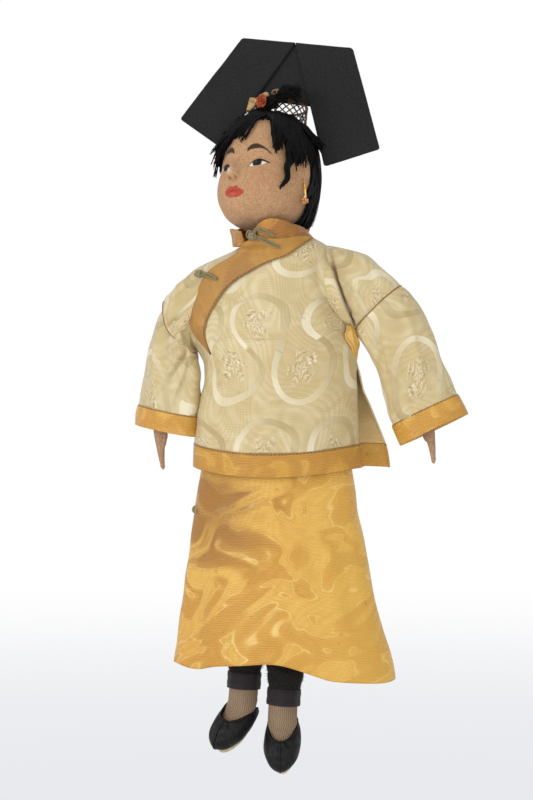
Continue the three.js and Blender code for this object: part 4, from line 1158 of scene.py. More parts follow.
PALM = [(-50.6, 0, 0, 2.4, 2.0), (-54, 0, 0, 2.9, 2.2), (-59, 0, 0, 3.5, 2.4), (-63, 0.7, 0, 3.0, 2.2),
        (-67, 1.6, -0.2, 2.3, 1.8), (-71, 2.7, -0.5, 1.8, 1.5), (-75, 4.0, -0.9, 1.3, 1.1),
        (-77.6, 4.8, -1.1, 0.8, 0.8), (-78.2, 5.0, -1.2, 0.2, 0.2)]
THUMB = [(-57, 2.4, -0.5, 0.6, 0.6), (-59, 3.0, -0.6, 1.3, 1.2), (-63, 3.3, -0.8, 1.2, 1.1),
         (-66.4, 3.1, -1.0, 0.8, 0.8), (-67.2, 3.0, -1.0, 0.2, 0.2)]


def make_hand(name):
    where, aside = forearm_frame(name), np.array([1, -SIDES[name], 1, 1, 1])
    palm = limb(f"{name}_hand_cloth", np.array(PALM) * aside, where, SKIN)
    thumb = limb(f"{name}_thumb", np.array(THUMB) * aside, where, SKIN, 24)
    hand = joined(f"{name}_hand_cloth", palm, thumb)
    settle(hand, f"{name}_forearm", [f"{name}_hand"])


# Skirt and trousers

SKIRT = [(-146, 55, 38), (-95, 46.5, 31), (-44, 40.5, 25.4), (-1.3, 30.5, 20.4)]
SKIRT_HEM, SKIRT_TOP = SKIRT[0][0], SKIRT[-1][0]
SKIRT_HEART, WAIST = (0, 0, -70), (-1.1, 8)
SKIRT_FALL = [(-60, -141.5), (-49, -142.6), (-36, -143.2), (-25, -141.9), (-10, -139.4), (3, -138.6),
              (12, -139.5), (20, -141.4), (28, -143.8), (36, -146.7), (43, -148.2), (50, -149.0), (62, -148.6)]
SKIRT_FOLDS = [(-2, -46, 14, -80, 5, 0.9), (30, -60, 40, -140, 7, 0.9), (-29, -50, -33, -140, 6, 1.0),
               (-21, -46, -15, -70, 4, -1.0)]
SEAT = [(-46.5, 31.5, 20.3), (-28, 31.5, 20.3), (3, 28.5, 18.4)]


def make_skirt():
    turn = np.linspace(-math.pi, math.pi, 220, endpoint=False)[None, :]
    z = np.linspace(SKIRT_HEM, SKIRT_TOP, 120)[:, None]
    a, b = oval(SKIRT, z)
    share = (SKIRT_TOP - z) / (SKIRT_TOP - SKIRT_HEM)
    swell = 1 + 1.6 * share * np.cos(5 * turn) / a
    x, y = a * np.sin(turn) * swell, -b * np.cos(turn) * swell
    low = ease(-z, 70, 146)
    x = x + 3.6 * low * ease(x, 20, 50) + 2.2 * ease(x, 10, 40) * ease(-z, 44, 80) + 2.2 * low**3
    drop = (through(SKIRT_FALL, x)[..., 0] - SKIRT_HEM) * ease(share, 0.35, 1.0)
    drop = drop + 0.5 * low * np.sin(9 * turn)
    u = turn * 45
    drape = 0.9 * hump(z + 62, 12) * np.cos(turn + 1.2)
    drape = drape + 0.8 * np.sin(7 * turn + 0.02 * z) * ease(-z, 50, 146)
    drape = drape + 0.7 * ripple(u, z, 46, 50) + 0.3 * ripple(u, z, 19, 51) + folds(u, z, SKIRT_FOLDS)
    drape = drape * ease(-z, 44, 66) - 0.25 * hump(z + 135.5, 0.7)
    hung = pushed(np.stack([x, y, z + drop], -1), drape, SKIRT_HEART, True)
    skirt = cloth("skirt_silk", hung, SKIRT_SILK, SKIRT_HEART, wrap=True, wall=0.8, lining=LINING_SILK)
    settle(skirt, "torso", ["skirt"])

    z = np.linspace(*WAIST, 12)[:, None]
    swell = 0.25 * np.sin(40 * turn) * ease(z, 8, -1)
    grid = tube(turn, z, *(half + swell for half in SKIRT[-1][1:]))
    band = cloth("waistband_silk", grid, BAND_SILK, (0, 0, 3), wrap=True, wall=1.0)
    settle(band, "torso", ["skirt_waistband"])

    angle = math.radians(-80)
    knot = np.array([41.6 * math.sin(angle) - 1.2, -27 * math.cos(angle) - 1.0, -62.6])
    tail = [knot, knot + (0.4, -2.4, -0.4), knot + (1.4, -5.0, -0.8), knot + (2.6, -7.4, -0.6)]
    make_frog("skirt_frog_cord", "frog_skirt", knot, 1.7, [tail])

    z = np.linspace(SEAT[0][0], SEAT[-1][0], 30)[:, None]
    middle = (0, 0, -20)
    hung = pushed(tube(turn, z, *oval(SEAT, z)), 0.25 * ripple(turn * 28, z, 14, 60), middle, True)
    seat = cloth("trouser_seat_wool", hung, WOOL, middle, wrap=True, wall=WOOL_WALL)
    settle(seat, "torso", ["trouser_seat"])


# Legs, stockings and shoes

FUZZ_SEED, FUZZ_HAIRS = {"left": 72, "right": 73}, 900


def make_leg(name):
    _, length, _ = LEG[name]
    where = leg_frame(name)
    inside = put([0, 0, -60], where)
    turn = np.linspace(0, 2 * math.pi, 90, endpoint=False)[None, :]
    z = np.linspace(-length + 6, -9, 80)[:, None]
    rows = [(6 - length, 8.2), (14 - length, 8.2), (20 - length, 9.3), (30 - length, 10.0),
            (-0.3 * length, 11.0), (-9, 11.0)]
    wrinkle = 0.5 * np.sin(0.9 * z + 2 * np.sin(turn)) * hump(z + length - 28, 8)
    wrinkle = wrinkle + 0.3 * ripple(turn * 9, z, 9, 70) * ease(z + length, 12, 20)
    fuzz = np.random.default_rng(71).normal(0, 0.07, (z.size, turn.size))
    radius = through(rows, z[:, 0]) + wrinkle + fuzz
    grid = put(tube(turn, z, radius, radius), where)
    trouser = cloth(f"{name}_trouser_wool", grid, WOOL, inside, wrap=True, wall=WOOL_WALL)
    draw = np.random.default_rng(FUZZ_SEED[name])
    hairs = []
    for _ in range(FUZZ_HAIRS):
        angle, height = draw.uniform(0, 2 * math.pi), draw.uniform(-length + 15, -length + 50)
        out = np.array([math.sin(angle), -math.cos(angle), 0])
        base = out * (float(through(rows, np.array(height))[0]) - 0.1) + np.array([0, 0, height])
        bend = draw.normal(0, 0.5, 3)
        hairs.append(put([base, base + out * 0.5 + bend * 0.3, base + out * 0.9 + bend], where))
    fuzzy = cords(f"{name}_trouser_fuzz", hairs, [np.array([0.07, 0.06, 0.02])] * FUZZ_HAIRS, WOOL, 3)
    trouser = joined(f"{name}_trouser_wool", trouser, fuzzy)
    settle(trouser, f"{name}_leg", [f"{name}_trouser_leg"])

    z = np.linspace(-length + 5.6, -length + 14.2, 22)[:, None]
    radius = 8.75 + 0.15 * np.sin(3 * turn + 1) + 0.1 * np.sin(8 * turn) + 0.08 * np.cos(1.4 * z)
    grid = put(tube(turn, z, radius, radius), where)
    band = cloth(f"{name}_ankle_ribbon", grid, RIBBON, inside, wrap=True, wall=SILK_WALL)
    settle(band, f"{name}_leg", [f"{name}_ankle_band"])


FOOT_MIDDLE = np.array([0, -12.0, -7.0])
FOOT_HALF = np.array([8.2, 18.5, 6.8])
SOLE_TOP, SOLE_THICK = -12.3, 2.2
SHOE_COLUMNS = 150
INSTEP = [(0, -1.2, -1.5), (0, -6, -5.2), (0, -12, -6.8), (0, -18.6, -7.5), (0, -24.4, -8.0)]
STOCKING_HALF = [(0, 7.5, 7.5), (0.2, 7.6, 7.5), (0.36, 7.7, 7.2), (0.55, 8.0, 6.3), (0.75, 7.6, 5.2),
                 (0.92, 5.0, 3.6), (1, 0.6, 0.5)]


def make_stocking(name):
    where = foot_frame(name)
    axes, origin = leg_frame(name)
    shin = (origin - axes[:, 2] * (LEG[name][1] - 8) - where[1]) @ where[0]
    path = along([shin, shin * 0.35, *INSTEP], 60)
    share = np.linspace(0, 1, len(path))[:, None]
    wide, tall = oval(STOCKING_HALF, share)
    run = np.gradient(path, axis=0)
    run /= np.linalg.norm(run, axis=1, keepdims=True)
    across = np.array([1.0, 0, 0]) - run * run[:, :1]
    across /= np.linalg.norm(across, axis=1, keepdims=True)
    up = np.cross(across, run)
    turn = np.linspace(0, 2 * math.pi, 110, endpoint=False)
    wrinkle = 0.25 * np.sin(share * 60) * hump(share - 0.3, 0.12) * np.maximum(np.cos(turn), 0)
    grid = (path[:, None] + across[:, None] * ((wide + wrinkle) * np.sin(turn))[..., None]
            + up[:, None] * ((tall + wrinkle) * np.cos(turn))[..., None])
    sock = closed_form(f"{name}_stocking_knit", put(grid, where), *put(path[[0, -1]], where), STOCKING)
    settle(sock, None, [f"{name}_foot"])
    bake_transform(sock)


def make_shoe(name):
    where = foot_frame(name)
    body = f"{name}_foot"
    half = FOOT_HALF + 1.5
    turn = np.linspace(0, 2 * math.pi, SHOE_COLUMNS, endpoint=False)
    low = math.asin(np.clip((SOLE_TOP - FOOT_MIDDLE[2]) / half[2], -1, 1))

    def on_shoe(lift):
        reach = half[1] * np.where(np.cos(turn) > 0, 0.84, 1.0)
        return FOOT_MIDDLE + tube(turn, half[2] * np.sin(lift), half[0] * np.cos(lift), reach * np.cos(lift))

    def in_throat(point):
        return (point[..., 0] / 7.6) ** 2 + ((point[..., 1] + 3.4) / 12.4) ** 2 < 1

    rim, high = np.full(SHOE_COLUMNS, low), np.full(SHOE_COLUMNS, 0.5 * math.pi)
    for _ in range(40):
        middle = 0.5 * (rim + high)
        inside = in_throat(on_shoe(middle))
        rim, high = np.where(inside, rim, middle), np.where(inside, middle, high)
    share = np.linspace(0, 1, 34)[:, None]
    toe = hump((turn + math.pi) % (2 * math.pi) - math.pi, 0.9)
    creases = 0.3 * np.sin(22 * share + 3 * np.cos(turn)) * toe * ease(share, 0.35, 0.8)
    creases = creases + 0.2 * ripple(turn * 9, share * 9, 5, 80)
    grid = pushed(on_shoe(low + (rim - low) * share), creases, FOOT_MIDDLE, True)
    heart = put(FOOT_MIDDLE, where)
    upper = cloth(f"{name}_shoe_leather", put(grid, where), LEATHER, heart, wrap=True, wall=0.8)
    edge = cords("edge", [put(np.concatenate([grid[-1], grid[-1, :1]]), where)], [0.62], LEATHER)
    vamp, heel = grid[4:-1, 0] + (0, -0.15, 0.2), grid[4:-1, SHOE_COLUMNS // 2] + (0, 0.15, 0.1)
    seams = cords("seams", [put(vamp, where), put(heel, where)], [0.36, 0.36], LEATHER, 6)
    upper = joined(f"{name}_shoe_leather", upper, edge, seams)
    settle(upper, body, [f"{name}_shoe"])

    sole = primitive("cylinder", f"{name}_sole_board", vertices=72, radius=1.0, depth=SOLE_THICK * MM)
    bpy.ops.transform.resize(value=(6.9 * MM, 15.2 * MM, 1.0))
    bpy.ops.mesh.bevel(offset=0.5 * MM, segments=2, affect="EDGES")
    bpy.ops.object.mode_set(mode="OBJECT")
    points = points_of(sole)
    points[:, 0] *= 1 - 0.13 * hump(points[:, 1] - 4, 6)
    points[:, 1] -= 11.6
    points[:, 2] += SOLE_TOP - 0.3 - 0.5 * SOLE_THICK
    move_points(sole, points, where)
    sole.data.materials.append(SOLE)
    only(sole)
    bpy.ops.object.shade_smooth_by_angle(angle=math.radians(35))
    settle(sole, body, [f"{name}_shoe_sole"])


# Head

HEAD_OUTLINE = [(0.02, -32.0), (7, -31.4), (13.4, -29.5), (18.3, -25.8), (21.2, -20.5), (22.8, -13.5),
                (23.3, -5), (23.1, 3), (22.2, 10), (19.4, 19), (13.6, 26), (7, 29.2), (0.02, 30.2)]
HEAD_CURVE = along(HEAD_OUTLINE, 400)
HEAD_STEEP = np.gradient(HEAD_CURVE[:, 0], HEAD_CURVE[:, 1])


def jaw_shift(z):
    return -2.6 * ease(-z, 0, 20)


def head_at(angle, radius, z):
    point = tube(angle, z, radius, 1.05 * radius)
    point[..., 1] += jaw_shift(z)
    return point


def on_head(angle, z, out):
    """A point on the head at an angle from the front and a height, moved outwards."""
    angle, z, out = np.broadcast_arrays(*(np.asarray(value, float) for value in (angle, z, out)))
    radius = np.interp(z, HEAD_CURVE[:, 1], HEAD_CURVE[:, 0])
    lean = -np.interp(z, HEAD_CURVE[:, 1], HEAD_STEEP)
    size = np.sqrt(1 + lean**2)
    point = head_at(angle, radius + out / size, z)
    point[..., 2] += out * lean / size
    return point


EYE_UP = [(6.0, -5.9), (7.2, -3.6), (9.6, -1.9), (12.1, -2.0), (14.9, -3.2)]
EYE_LOW = [(6.0, -5.9), (7.8, -5.8), (9.8, -5.4), (12.3, -4.9), (14.9, -3.2)]
BROW = [(3.8, 3.6), (6.0, 5.3), (9.0, 5.8), (12.3, 4.8), (15.6, 1.6)]


def painted_face(x, z, front):
    """Paint on the face at each point: red, green, blue and how thickly it lies. Beside the doll's own paint
    it holds painted shade by and under the nose and painted highlights on the nose tip, the irises and the
    lower lip.
    """
    paint = np.zeros(x.shape + (4,))
    paint[..., :3] = colour(183, 142, 106)[:3]
    wide = np.abs(x)

    def lay(tone, amount):
        amount = np.clip(amount, 0, 1) * front
        held = paint[..., 3]
        total = held + amount * (1 - held)
        mix = np.where(total > 1e-6, amount / np.maximum(total, 1e-6), 0)[..., None]
        paint[..., :3] = paint[..., :3] * (1 - mix) + np.array(colour(*tone)[:3]) * mix
        paint[..., 3] = total

    def soft(distance, blur=0.16):
        return ease(-distance, -blur, blur)

    eye = np.abs(x - 1.0)
    lay((190, 112, 86), 0.2 * hump(np.hypot(wide - 13.8, z + 11.5), 6.5))
    # Painted shade down the doll's right side of the nose.
    lay((160, 118, 88), 0.5 * hump(x + 3.2, 1.5) * ease(-z, -3, 3) * (1 - ease(-z, 8, 10)))
    # Painted highlight on the nose tip.
    lay((228, 198, 166), 0.75 * hump(np.hypot(x + 0.6, z + 8.8), 1.5))
    lay((116, 58, 42), 0.8 * hump(np.hypot(wide - 1.9, z + 11.6), 0.75))
    # Painted shade just under the nose.
    lay((156, 108, 80), 0.45 * hump(x, 2.6) * hump(z + 12.4, 0.7))
    up = through(EYE_UP, eye)[..., 0]
    low = through(EYE_LOW, eye)[..., 0]
    span = (eye > 6.0) & (eye < 14.9)
    opening = np.where(span, np.minimum(up - z, z - low), -1.0)
    crease = soft(np.abs(z - up - 1.6) - 0.3, 0.35) * ease(eye, 6.4, 8) * (1 - ease(eye, 14, 16))
    lay((150, 106, 80), 0.5 * crease)
    lay((240, 231, 216), soft(-opening))
    iris = np.hypot(eye - 10.1, z + 3.6)
    lay((44, 36, 33), soft(iris - 2.25) * soft(-opening))
    lay((14, 12, 12), soft(iris - 1.3) * soft(-opening))
    # Painted catchlight in the iris.
    lay((120, 112, 106), 0.7 * soft(np.hypot(eye - 9.5, z + 3.0) - 0.32) * soft(-opening))
    lid = np.abs(z - up) - 0.38 - 0.36 * hump(eye - 10.5, 3.4)
    lay((22, 16, 15), soft(lid) * ease(eye, 5.7, 6.2) * (1 - ease(eye, 14.9, 15.9)))
    lay((110, 80, 64), 0.7 * soft(np.abs(z - low) - 0.1) * span)
    middle = through(BROW, eye)[..., 0]
    thick = 0.4 + 1.15 * hump(eye - 7.3, 4.2)
    ends = ease(eye, 3.6, 4.6) * (1 - ease(eye, 14.9, 16.0))
    streak = 0.92 + 0.08 * np.sin(9 * eye + 3 * z)
    lay((22, 16, 14), soft(np.abs(z - middle) - thick, 0.28) * ends * streak)
    corner = np.clip(1 - (wide / 6.3) ** 2, 0, 1)
    top = -18.7 + 2.5 * corner**0.8 + 0.75 * hump(wide - 2.0, 1.3) - 0.5 * hump(x, 0.8)
    foot = -18.9 - 2.7 * corner**0.7
    level = z + 0.12 * np.maximum(x, 0)
    lip = np.where(wide < 6.3, np.minimum(top - level, level - foot), -1.0)
    flaked = 0.86 + 0.14 * ripple(x, z, 1.5, 95)
    lay((180, 56, 46), soft(-lip, 0.22) * flaked)
    # Painted highlight in the middle of the lower lip.
    lay((212, 104, 90), 0.5 * soft(-lip, 0.3) * hump(np.hypot(0.5 * x, z + 20.1), 0.9))
    lay((140, 40, 36), 0.7 * soft(np.abs(z + 18.6 - 0.25 * hump(x, 1.5)) - 0.14) * (wide < 6.2))
    return paint


def make_head():
    share = np.linspace(-1, 1, 300, endpoint=False)[None, :]
    angle = math.pi * share - 0.55 * np.sin(math.pi * share)
    curve = along(HEAD_OUTLINE, 230)
    z = curve[:, 1:2] + 0 * angle
    base = head_at(angle, curve[:, 0:1], z)
    x = base[..., 0]
    wide = np.abs(x)
    front = ease(np.cos(angle + 0 * z), 0.15, 0.5)
    bridge = ease(-z, -2, 8.6) * (1 - ease(-z, 9.6, 12.8))
    shape = 4.6 * bridge * hump(x, 1.8 + 1.2 * ease(-z, 2, 9))
    shape = shape + 1.5 * hump(wide - 2.6, 1.1) * hump(z + 10.4, 1.4)
    shape = shape - 1.0 * hump(wide - 8.5, 5.0) * hump(z + 1.5, 3.6)
    shape = shape + 0.6 * hump(wide - 11.2, 3.8) * hump(z + 2.8, 2.4)
    shape = shape + 1.0 * hump(x, 4.4) * hump(z + 17.2, 1.1) + 1.1 * hump(x, 3.8) * hump(z + 20.0, 1.2)
    shape = shape - 0.6 * hump(x, 5.2) * hump(z + 18.6, 0.45)
    shape = shape + 0.9 * hump(wide - 13, 8) * hump(z + 12, 8) + 0.8 * hump(x, 6) * hump(z + 26, 4)
    lumps = 0.12 * ripple(18 * angle, z, 7, 90)
    ear = hump((base[..., 1] - 2.5) / 3.6, 1) * hump((z + 4.5) / 6.4, 1) * ease(wide, 15, 20)
    hollow = hump((base[..., 1] - 1.6) / 1.7, 1) * hump((z + 4.5) / 3.6, 1) * ease(wide, 15, 20)
    grid = pushed(base, shape * front + lumps + 2.0 * ear - 1.2 * hollow, (0, 0, 0), True)
    poles = (put([0, 0, z], HEAD) for _, z in (HEAD_OUTLINE[0], HEAD_OUTLINE[-1]))
    head = closed_form("head_cloth", put(grid, HEAD), *poles, FACE)
    paint = painted_face(grid[..., 0], grid[..., 2], front).reshape(-1, 4)
    layer = head.data.attributes.new("paint", "FLOAT_COLOR", "POINT")
    layer.data.foreach_set("color", np.concatenate([paint, np.zeros((2, 4))]).astype(np.float32).ravel())
    settle(head, "head", ["head"])


HAIRLINE = [(-180, -13), (-135, -13), (-110, -9), (-95, -3), (-75, -2), (-58, 0), (-47, 2), (-40, 6.5),
            (-23, 9.5), (-14, 11.5), (-5, 14), (3, 17.5), (10, 20), (16, 21.4), (21, 22.4), (30, 22.6),
            (37, 22), (41, 18), (42, 12), (45, 7), (52, 4), (57, 7.5), (60, 10), (64, 2), (79, -1), (88, 2),
            (97, 6), (104, 3), (112, -6), (122, -11), (135, -13), (180, -13)]
CROWN = 29.6
CAP_STRANDS, TUFT_STRANDS = 1500, 420
CAP_STEPS, LOCK_STEPS = 9, 16


def hairline(angle):
    return np.interp((np.degrees(angle) + 180) % 360 - 180, *np.transpose(HAIRLINE))


def make_hair_cap():
    angle = np.linspace(-math.pi, math.pi, 240, endpoint=False)[None, :]
    line = hairline(angle) + 1.1 * ripple(angle * 20, 0, 2.4, 99)
    share = np.linspace(0, 1, 60)[:, None]
    z = CROWN - (CROWN - line) * share**1.5
    strand = 0.35 * np.sin(70 * angle + 5 * share) + 0.3 * ripple(angle * 20, share * 6, 3, 100)
    out = 1.5 + strand * ease(share, 0.05, 0.3) - 0.9 * ease(share, 0.9, 1.0)
    grid = on_head(angle, z, out)
    uv = np.stack(np.meshgrid(np.linspace(0, 150, angle.size + 1), 60 * share), -1)
    cap = cloth("hair_cap_base", put(grid, HEAD), HAIR, put([0, 0, 8], HEAD), uv, wrap=True, wall=0.7)
    draw = np.random.default_rng(101)
    paths, widths = [], []
    for _ in range(CAP_STRANDS):
        turn = draw.uniform(-math.pi, math.pi)
        start, end = draw.uniform(0.02, 0.45), draw.uniform(0.8, 1.02)
        t = np.linspace(start, end, CAP_STEPS)
        bend = draw.normal(0, 0.05) * (t - start)
        lift = 1.7 + draw.uniform(0, 0.9) * np.sin(math.pi * np.linspace(0.1, 0.95, CAP_STEPS))
        heights = CROWN - (CROWN - hairline(turn + bend)) * t**1.5
        paths.append(put(on_head(turn + bend, heights, lift), HEAD))
        widths.append(np.linspace(0.3, 0.16, CAP_STEPS))
    floss = cords("hair_cap_strands", paths, widths, HAIR, 4)
    cap = joined("hair_cap_floss", cap, floss)
    settle(cap, "head", ["hair_cap"])


CLUMP, LOCK_WIDTH = 12, (0.336, 0.14)


def lock(draw, path, count, start, end):
    """Strands in clumps along places of (angle, height, out), spread in angle and height at each end."""
    paths, widths = [], []
    line = along(path, LOCK_STEPS)
    t = np.linspace(0, 1, LOCK_STEPS)
    for _ in range(count // CLUMP):
        first, last = draw.normal(0, 1, 2) * start, draw.normal(0, 1, 2) * end
        wave, phase, kick = draw.normal(0, 2.6), draw.uniform(0, 6), draw.normal(0, 0.9)
        long = draw.uniform(0.74, 1.08)
        for _ in range(CLUMP):
            near, far = first + draw.normal(0, 0.2, 2) * start, last + draw.normal(0, 0.13, 2) * end
            strand = line.copy()
            strand[:, :2] += np.outer(1 - t, near) + np.outer(t, far)
            strand[:, 0] += wave * t * np.sin(5 * t + phase) + draw.normal(0, 0.5) * np.sin(7 * t + phase)
            strand[:, 2] += draw.normal(0, 0.25) + (kick + draw.normal(0, 0.35)) * t**2
            strand = strand[: max(7, int(LOCK_STEPS * min(1, long * draw.uniform(0.88, 1.08))))]
            height = np.clip(strand[:, 1], -29, 29.5)
            point = on_head(np.radians(strand[:, 0]), height, np.maximum(strand[:, 2], 0.6))
            point[:, 2] += strand[:, 1] - height
            paths.append(put(point, HEAD))
            widths.append(np.linspace(*LOCK_WIDTH, len(strand)))
    return paths, widths


def locks(name, draw, rows):
    """Several locks as one mesh."""
    paths, widths = [], []
    for row in rows:
        strands = lock(draw, *row)
        paths += strands[0]
        widths += strands[1]
    return cords(name, paths, widths, HAIR, 4)


LOCKS = {
    "hair_fringe": [
        ([(18, 26.5, 2.2), (-8, 19, 2.4), (-30, 11, 2.4), (-42, 5, 3.2)], 260, (9, 1.2), (6, 3.0)),
        ([(15.5, 23.5, 2.0), (13, 15, 1.4), (8, 8, 1.1)], 36, (2, 1), (2.5, 1.2)),
        ([(14, 23.5, 2.2), (5, 17.8, 1.8), (-5, 10.5, 1.4)], 84, (4, 1), (4.5, 1.6)),
        ([(50, 24, 2.8), (50, 14, 3.4), (50, 4, 2.4)], 240, (4.0, 1.2), (2.4, 1.8)),
        ([(58, 24, 2.8), (60, 15, 3.4), (57, 8, 2.8)], 120, (4.0, 1.2), (2.4, 1.8)),
    ],
    "left_side_lock": [
        ([(68, 22, 2.6), (73, 11, 3.4), (76, -1, 3.2)], 420, (11, 2.5), (8, 2.0)),
        ([(67, 4, 2.4), (64, -4, 2.2), (68, -11, 1.8), (62, -17.5, 1.4)], 96, (2.5, 1.5), (1.8, 1.2)),
        ([(98, 20, 3.0), (110, 15, 4.0), (119, 11, 6.4)], 150, (9, 2), (3.5, 1.8)),
    ],
    "right_side_lock": [
        ([(-26, 21, 2.4), (-38, 13, 3.4), (-46, 6, 6.2)], 210, (9, 2), (6, 3.2)),
        ([(-46, 19, 2.6), (-52, 9, 3.4), (-54, 1, 3.4)], 240, (10, 2.5), (7, 2.6)),
        ([(-76, 18, 2.8), (-80, 10, 3.2), (-84, 2, 3.2)], 240, (12, 2.5), (9, 2.4)),
    ],
}
BACK_LOCKS = [
    ([(182, 12, 2.6), (182, 0, 3.0), (182, -15, 3.4)], 600, (30, 3), (28, 2.2)),
    ([(117, 8, 2.8), (124, -1, 3.2), (138, -12, 3.6), (144, -28, 5.2)], 330, (3.5, 2.5), (5, 2.6)),
    ([(113, 4, 2.2), (119, -6, 2.2), (124, -17, 2.4), (130, -29, 3.2)], 240, (3, 2), (5, 2.6)),
]
TUFT = [((-1.0, -10.5, 30.2), (2.0, 1.4, 0.5)), ((6.5, -9.2, 35.0), (1.4, 1.4, 1.3)),
        ((14.5, -8, 39.0), (1.6, 1.4, 1.6)), ((23.0, -6.8, 39.0), (2.4, 1.6, 2.4))]


def make_locks():
    draw = np.random.default_rng(111)
    for name, rows in LOCKS.items():
        settle(locks(f"{name}_floss", draw, rows), "head", [name])

    angle = np.radians(np.linspace(106, 254, 120))[None, :]
    share = np.linspace(0, 1, 40)[:, None]
    z = 2 - 17 * share
    out = 2.2 + 0.4 * np.sin(50 * angle + 3 * share) + 0.3 * ripple(angle * 20, z, 4, 121)
    out = out - 0.8 * ease(share, 0.85, 1)
    grid = put(on_head(angle, z, out), HEAD)
    uv = np.stack(np.meshgrid(np.linspace(0, 90, angle.size), 18 * share), -1)
    base = cloth("hair_back_base", grid, HAIR, put([0, 0, -8], HEAD), uv, wall=1.2)
    floss = locks("hair_back_strands", draw, BACK_LOCKS)
    settle(joined("hair_back_floss", base, floss), "head", ["hair_back"])

    paths, widths = [], []
    for _ in range(TUFT_STRANDS):
        places = [np.array(middle) + draw.normal(0, 1, 3) * spread for middle, spread in TUFT]
        places[-1][2] -= draw.uniform(0, 8.5) * (draw.uniform() < 0.55)
        path = along(places, 12)[: draw.integers(8, 13)]
        paths.append(put(path, HEAD))
        widths.append(np.linspace(0.28, 0.12, len(path)))
    tuft = cords("hair_tuft_floss", paths, widths, HAIR, 4)
    settle(tuft, "head", ["hair_tuft"])


# Headdress and ornaments

def covered_board(name, outline, front, back, side=1):
    """A cloth-covered board: a plane drawn to its outline, thickened, its edges and corners rounded."""
    board = primitive("plane", name, size=2 * MM)
    bpy.ops.object.mode_set(mode="OBJECT")
    starts = [point.co.copy() for point in board.data.vertices]
    for index, (x, z) in zip((0, 1, 3, 2), outline):
        picked(board, [index])
        bpy.ops.transform.translate(value=Vector((side * x, back, z)) * MM - starts[index])
    picked(board, [1, 2, 3])
    bpy.ops.mesh.bevel(offset=1.4 * MM, segments=4, affect="VERTICES")
    bpy.ops.mesh.select_all(action="SELECT")
    bpy.ops.mesh.extrude_region_move(TRANSFORM_OT_translate={"value": (0, (front - back) * MM, 0)})
    bpy.ops.mesh.select_all(action="SELECT")
    bpy.ops.mesh.normals_make_consistent(inside=False)
    bpy.ops.object.mode_set(mode="OBJECT")
    applied(board, "BEVEL", width=0.4 * MM, segments=3, limit_method="ANGLE", angle_limit=math.radians(50))
    applied(board, "REMESH", mode="VOXEL", voxel_size=0.42 * MM)
    applied(board, "SMOOTH", factor=0.5, iterations=3)
    points = points_of(board)
    x, _, z = points.T
    points[:, 1] += 0.22 * ripple(x, z, 38, 130 + side) + 0.1 * ripple(x, z, 13, 133)
    move_points(board, points, BOARDS)
    return coated(board, BOARD_CLOTH)


WINGS = {"left": [(0.02, 1.8), (33.2, 2.6), (61.2, -48.5), (32.4, -61.6)],
         "right": [(0.02, 1.8), (31.6, 0.9), (57.3, -47), (29.4, -59.4)]}
BACKING = [(-5, 1.5), (5, 1.5), (17.6, -30.6), (-17.6, -30.6)]
NET_MIDDLE, NET_RADIUS, NET_WIRES = (2.5, 7.5, 0), 11.0, 18
NET_LOW, NET_HIGH = 24.0, 38.5


def make_headdress():
    for name, side in SIDES.items():
        wing = covered_board(f"{name}_wing_cloth", WINGS[name], -2.0, 0.0, side)
        settle(wing, "head", [f"headdress_{name}_wing"])
    backing = covered_board("headdress_backing_cloth", BACKING, 0.3, 2.3)
    settle(backing, "head", ["headdress_backing"])

    share = np.linspace(0, 1, 24)
    rise = NET_LOW + (NET_HIGH - NET_LOW) * share
    wires = [tube(2 * math.pi * k / NET_WIRES + way * 1.4 * share, rise, NET_RADIUS, NET_RADIUS)
             for k in range(NET_WIRES) for way in (1, -1)]
    turn = np.linspace(0, 2 * math.pi, 61)
    wires += [tube(turn, height, NET_RADIUS, NET_RADIUS) for height in (NET_LOW, NET_HIGH)]
    widths = [0.36] * (2 * NET_WIRES) + [0.6] * 2
    net = cords("headdress_net_wire", [put(wire + NET_MIDDLE, HEAD) for wire in wires], widths, WIRE, 6)
    settle(net, "head", ["headdress_net"])


def curl(name, middle, wide, tall, deep, turns, material):
    """A strip curled into a loop of the given half width and half height, turned to its place."""
    turn = np.linspace(0, 2 * math.pi, 60)[None, :]
    share = np.linspace(-0.5, 0.5, 10)[:, None]
    grow = 1 + 0.05 * turn / math.pi
    strip = np.stack([wide * np.cos(turn) * grow + 0 * share, deep * share + 0.1 * np.sin(3 * turn),
                      tall * np.sin(turn) * grow + 0 * share], -1)
    strip = put(strip @ turned(*turns).T + np.array(middle), HEAD)
    return cloth(name, strip, material, put(middle, HEAD), wall=0.35)


def make_flower():
    middle, count = np.array([3.9, -13.4, 34.4]), 7
    reach, across = np.meshgrid(np.linspace(0.1, 1, 16), np.linspace(-1, 1, 13), indexing="ij")
    half = 1.7 * np.sin(math.pi * np.clip(reach * 0.8 + 0.12, 0, 1)) ** 0.7
    petals = []
    for k in range(count):
        cupped = -0.8 - 1.4 * reach**2 + 0.7 * across**2 + 0.3 * np.sin(7 * reach + k)
        turn = turned(("X", 14), ("Y", 360 * k / count + 9 * math.sin(5 * k)))
        petal = np.stack([half * across, cupped, 3.6 * reach], -1) @ turn.T + middle
        petals.append(cloth(f"petal_{k}", put(petal, HEAD), PETAL, put(middle + (0, 6, 0), HEAD), wall=0.35))
    rolls = [curl("roll", middle + (-0.6, -1.6, 0.8), 1.1, 1.3, 2.0, [("Y", 20)], PETAL),
             curl("roll", middle + (1.2, -1.5, -1.0), 0.8, 1.0, 2.0, [("Y", -30)], PETAL)]
    flower = joined("hair_flower_cloth", *petals, *rolls)
    settle(flower, "head", ["hair_flower"])


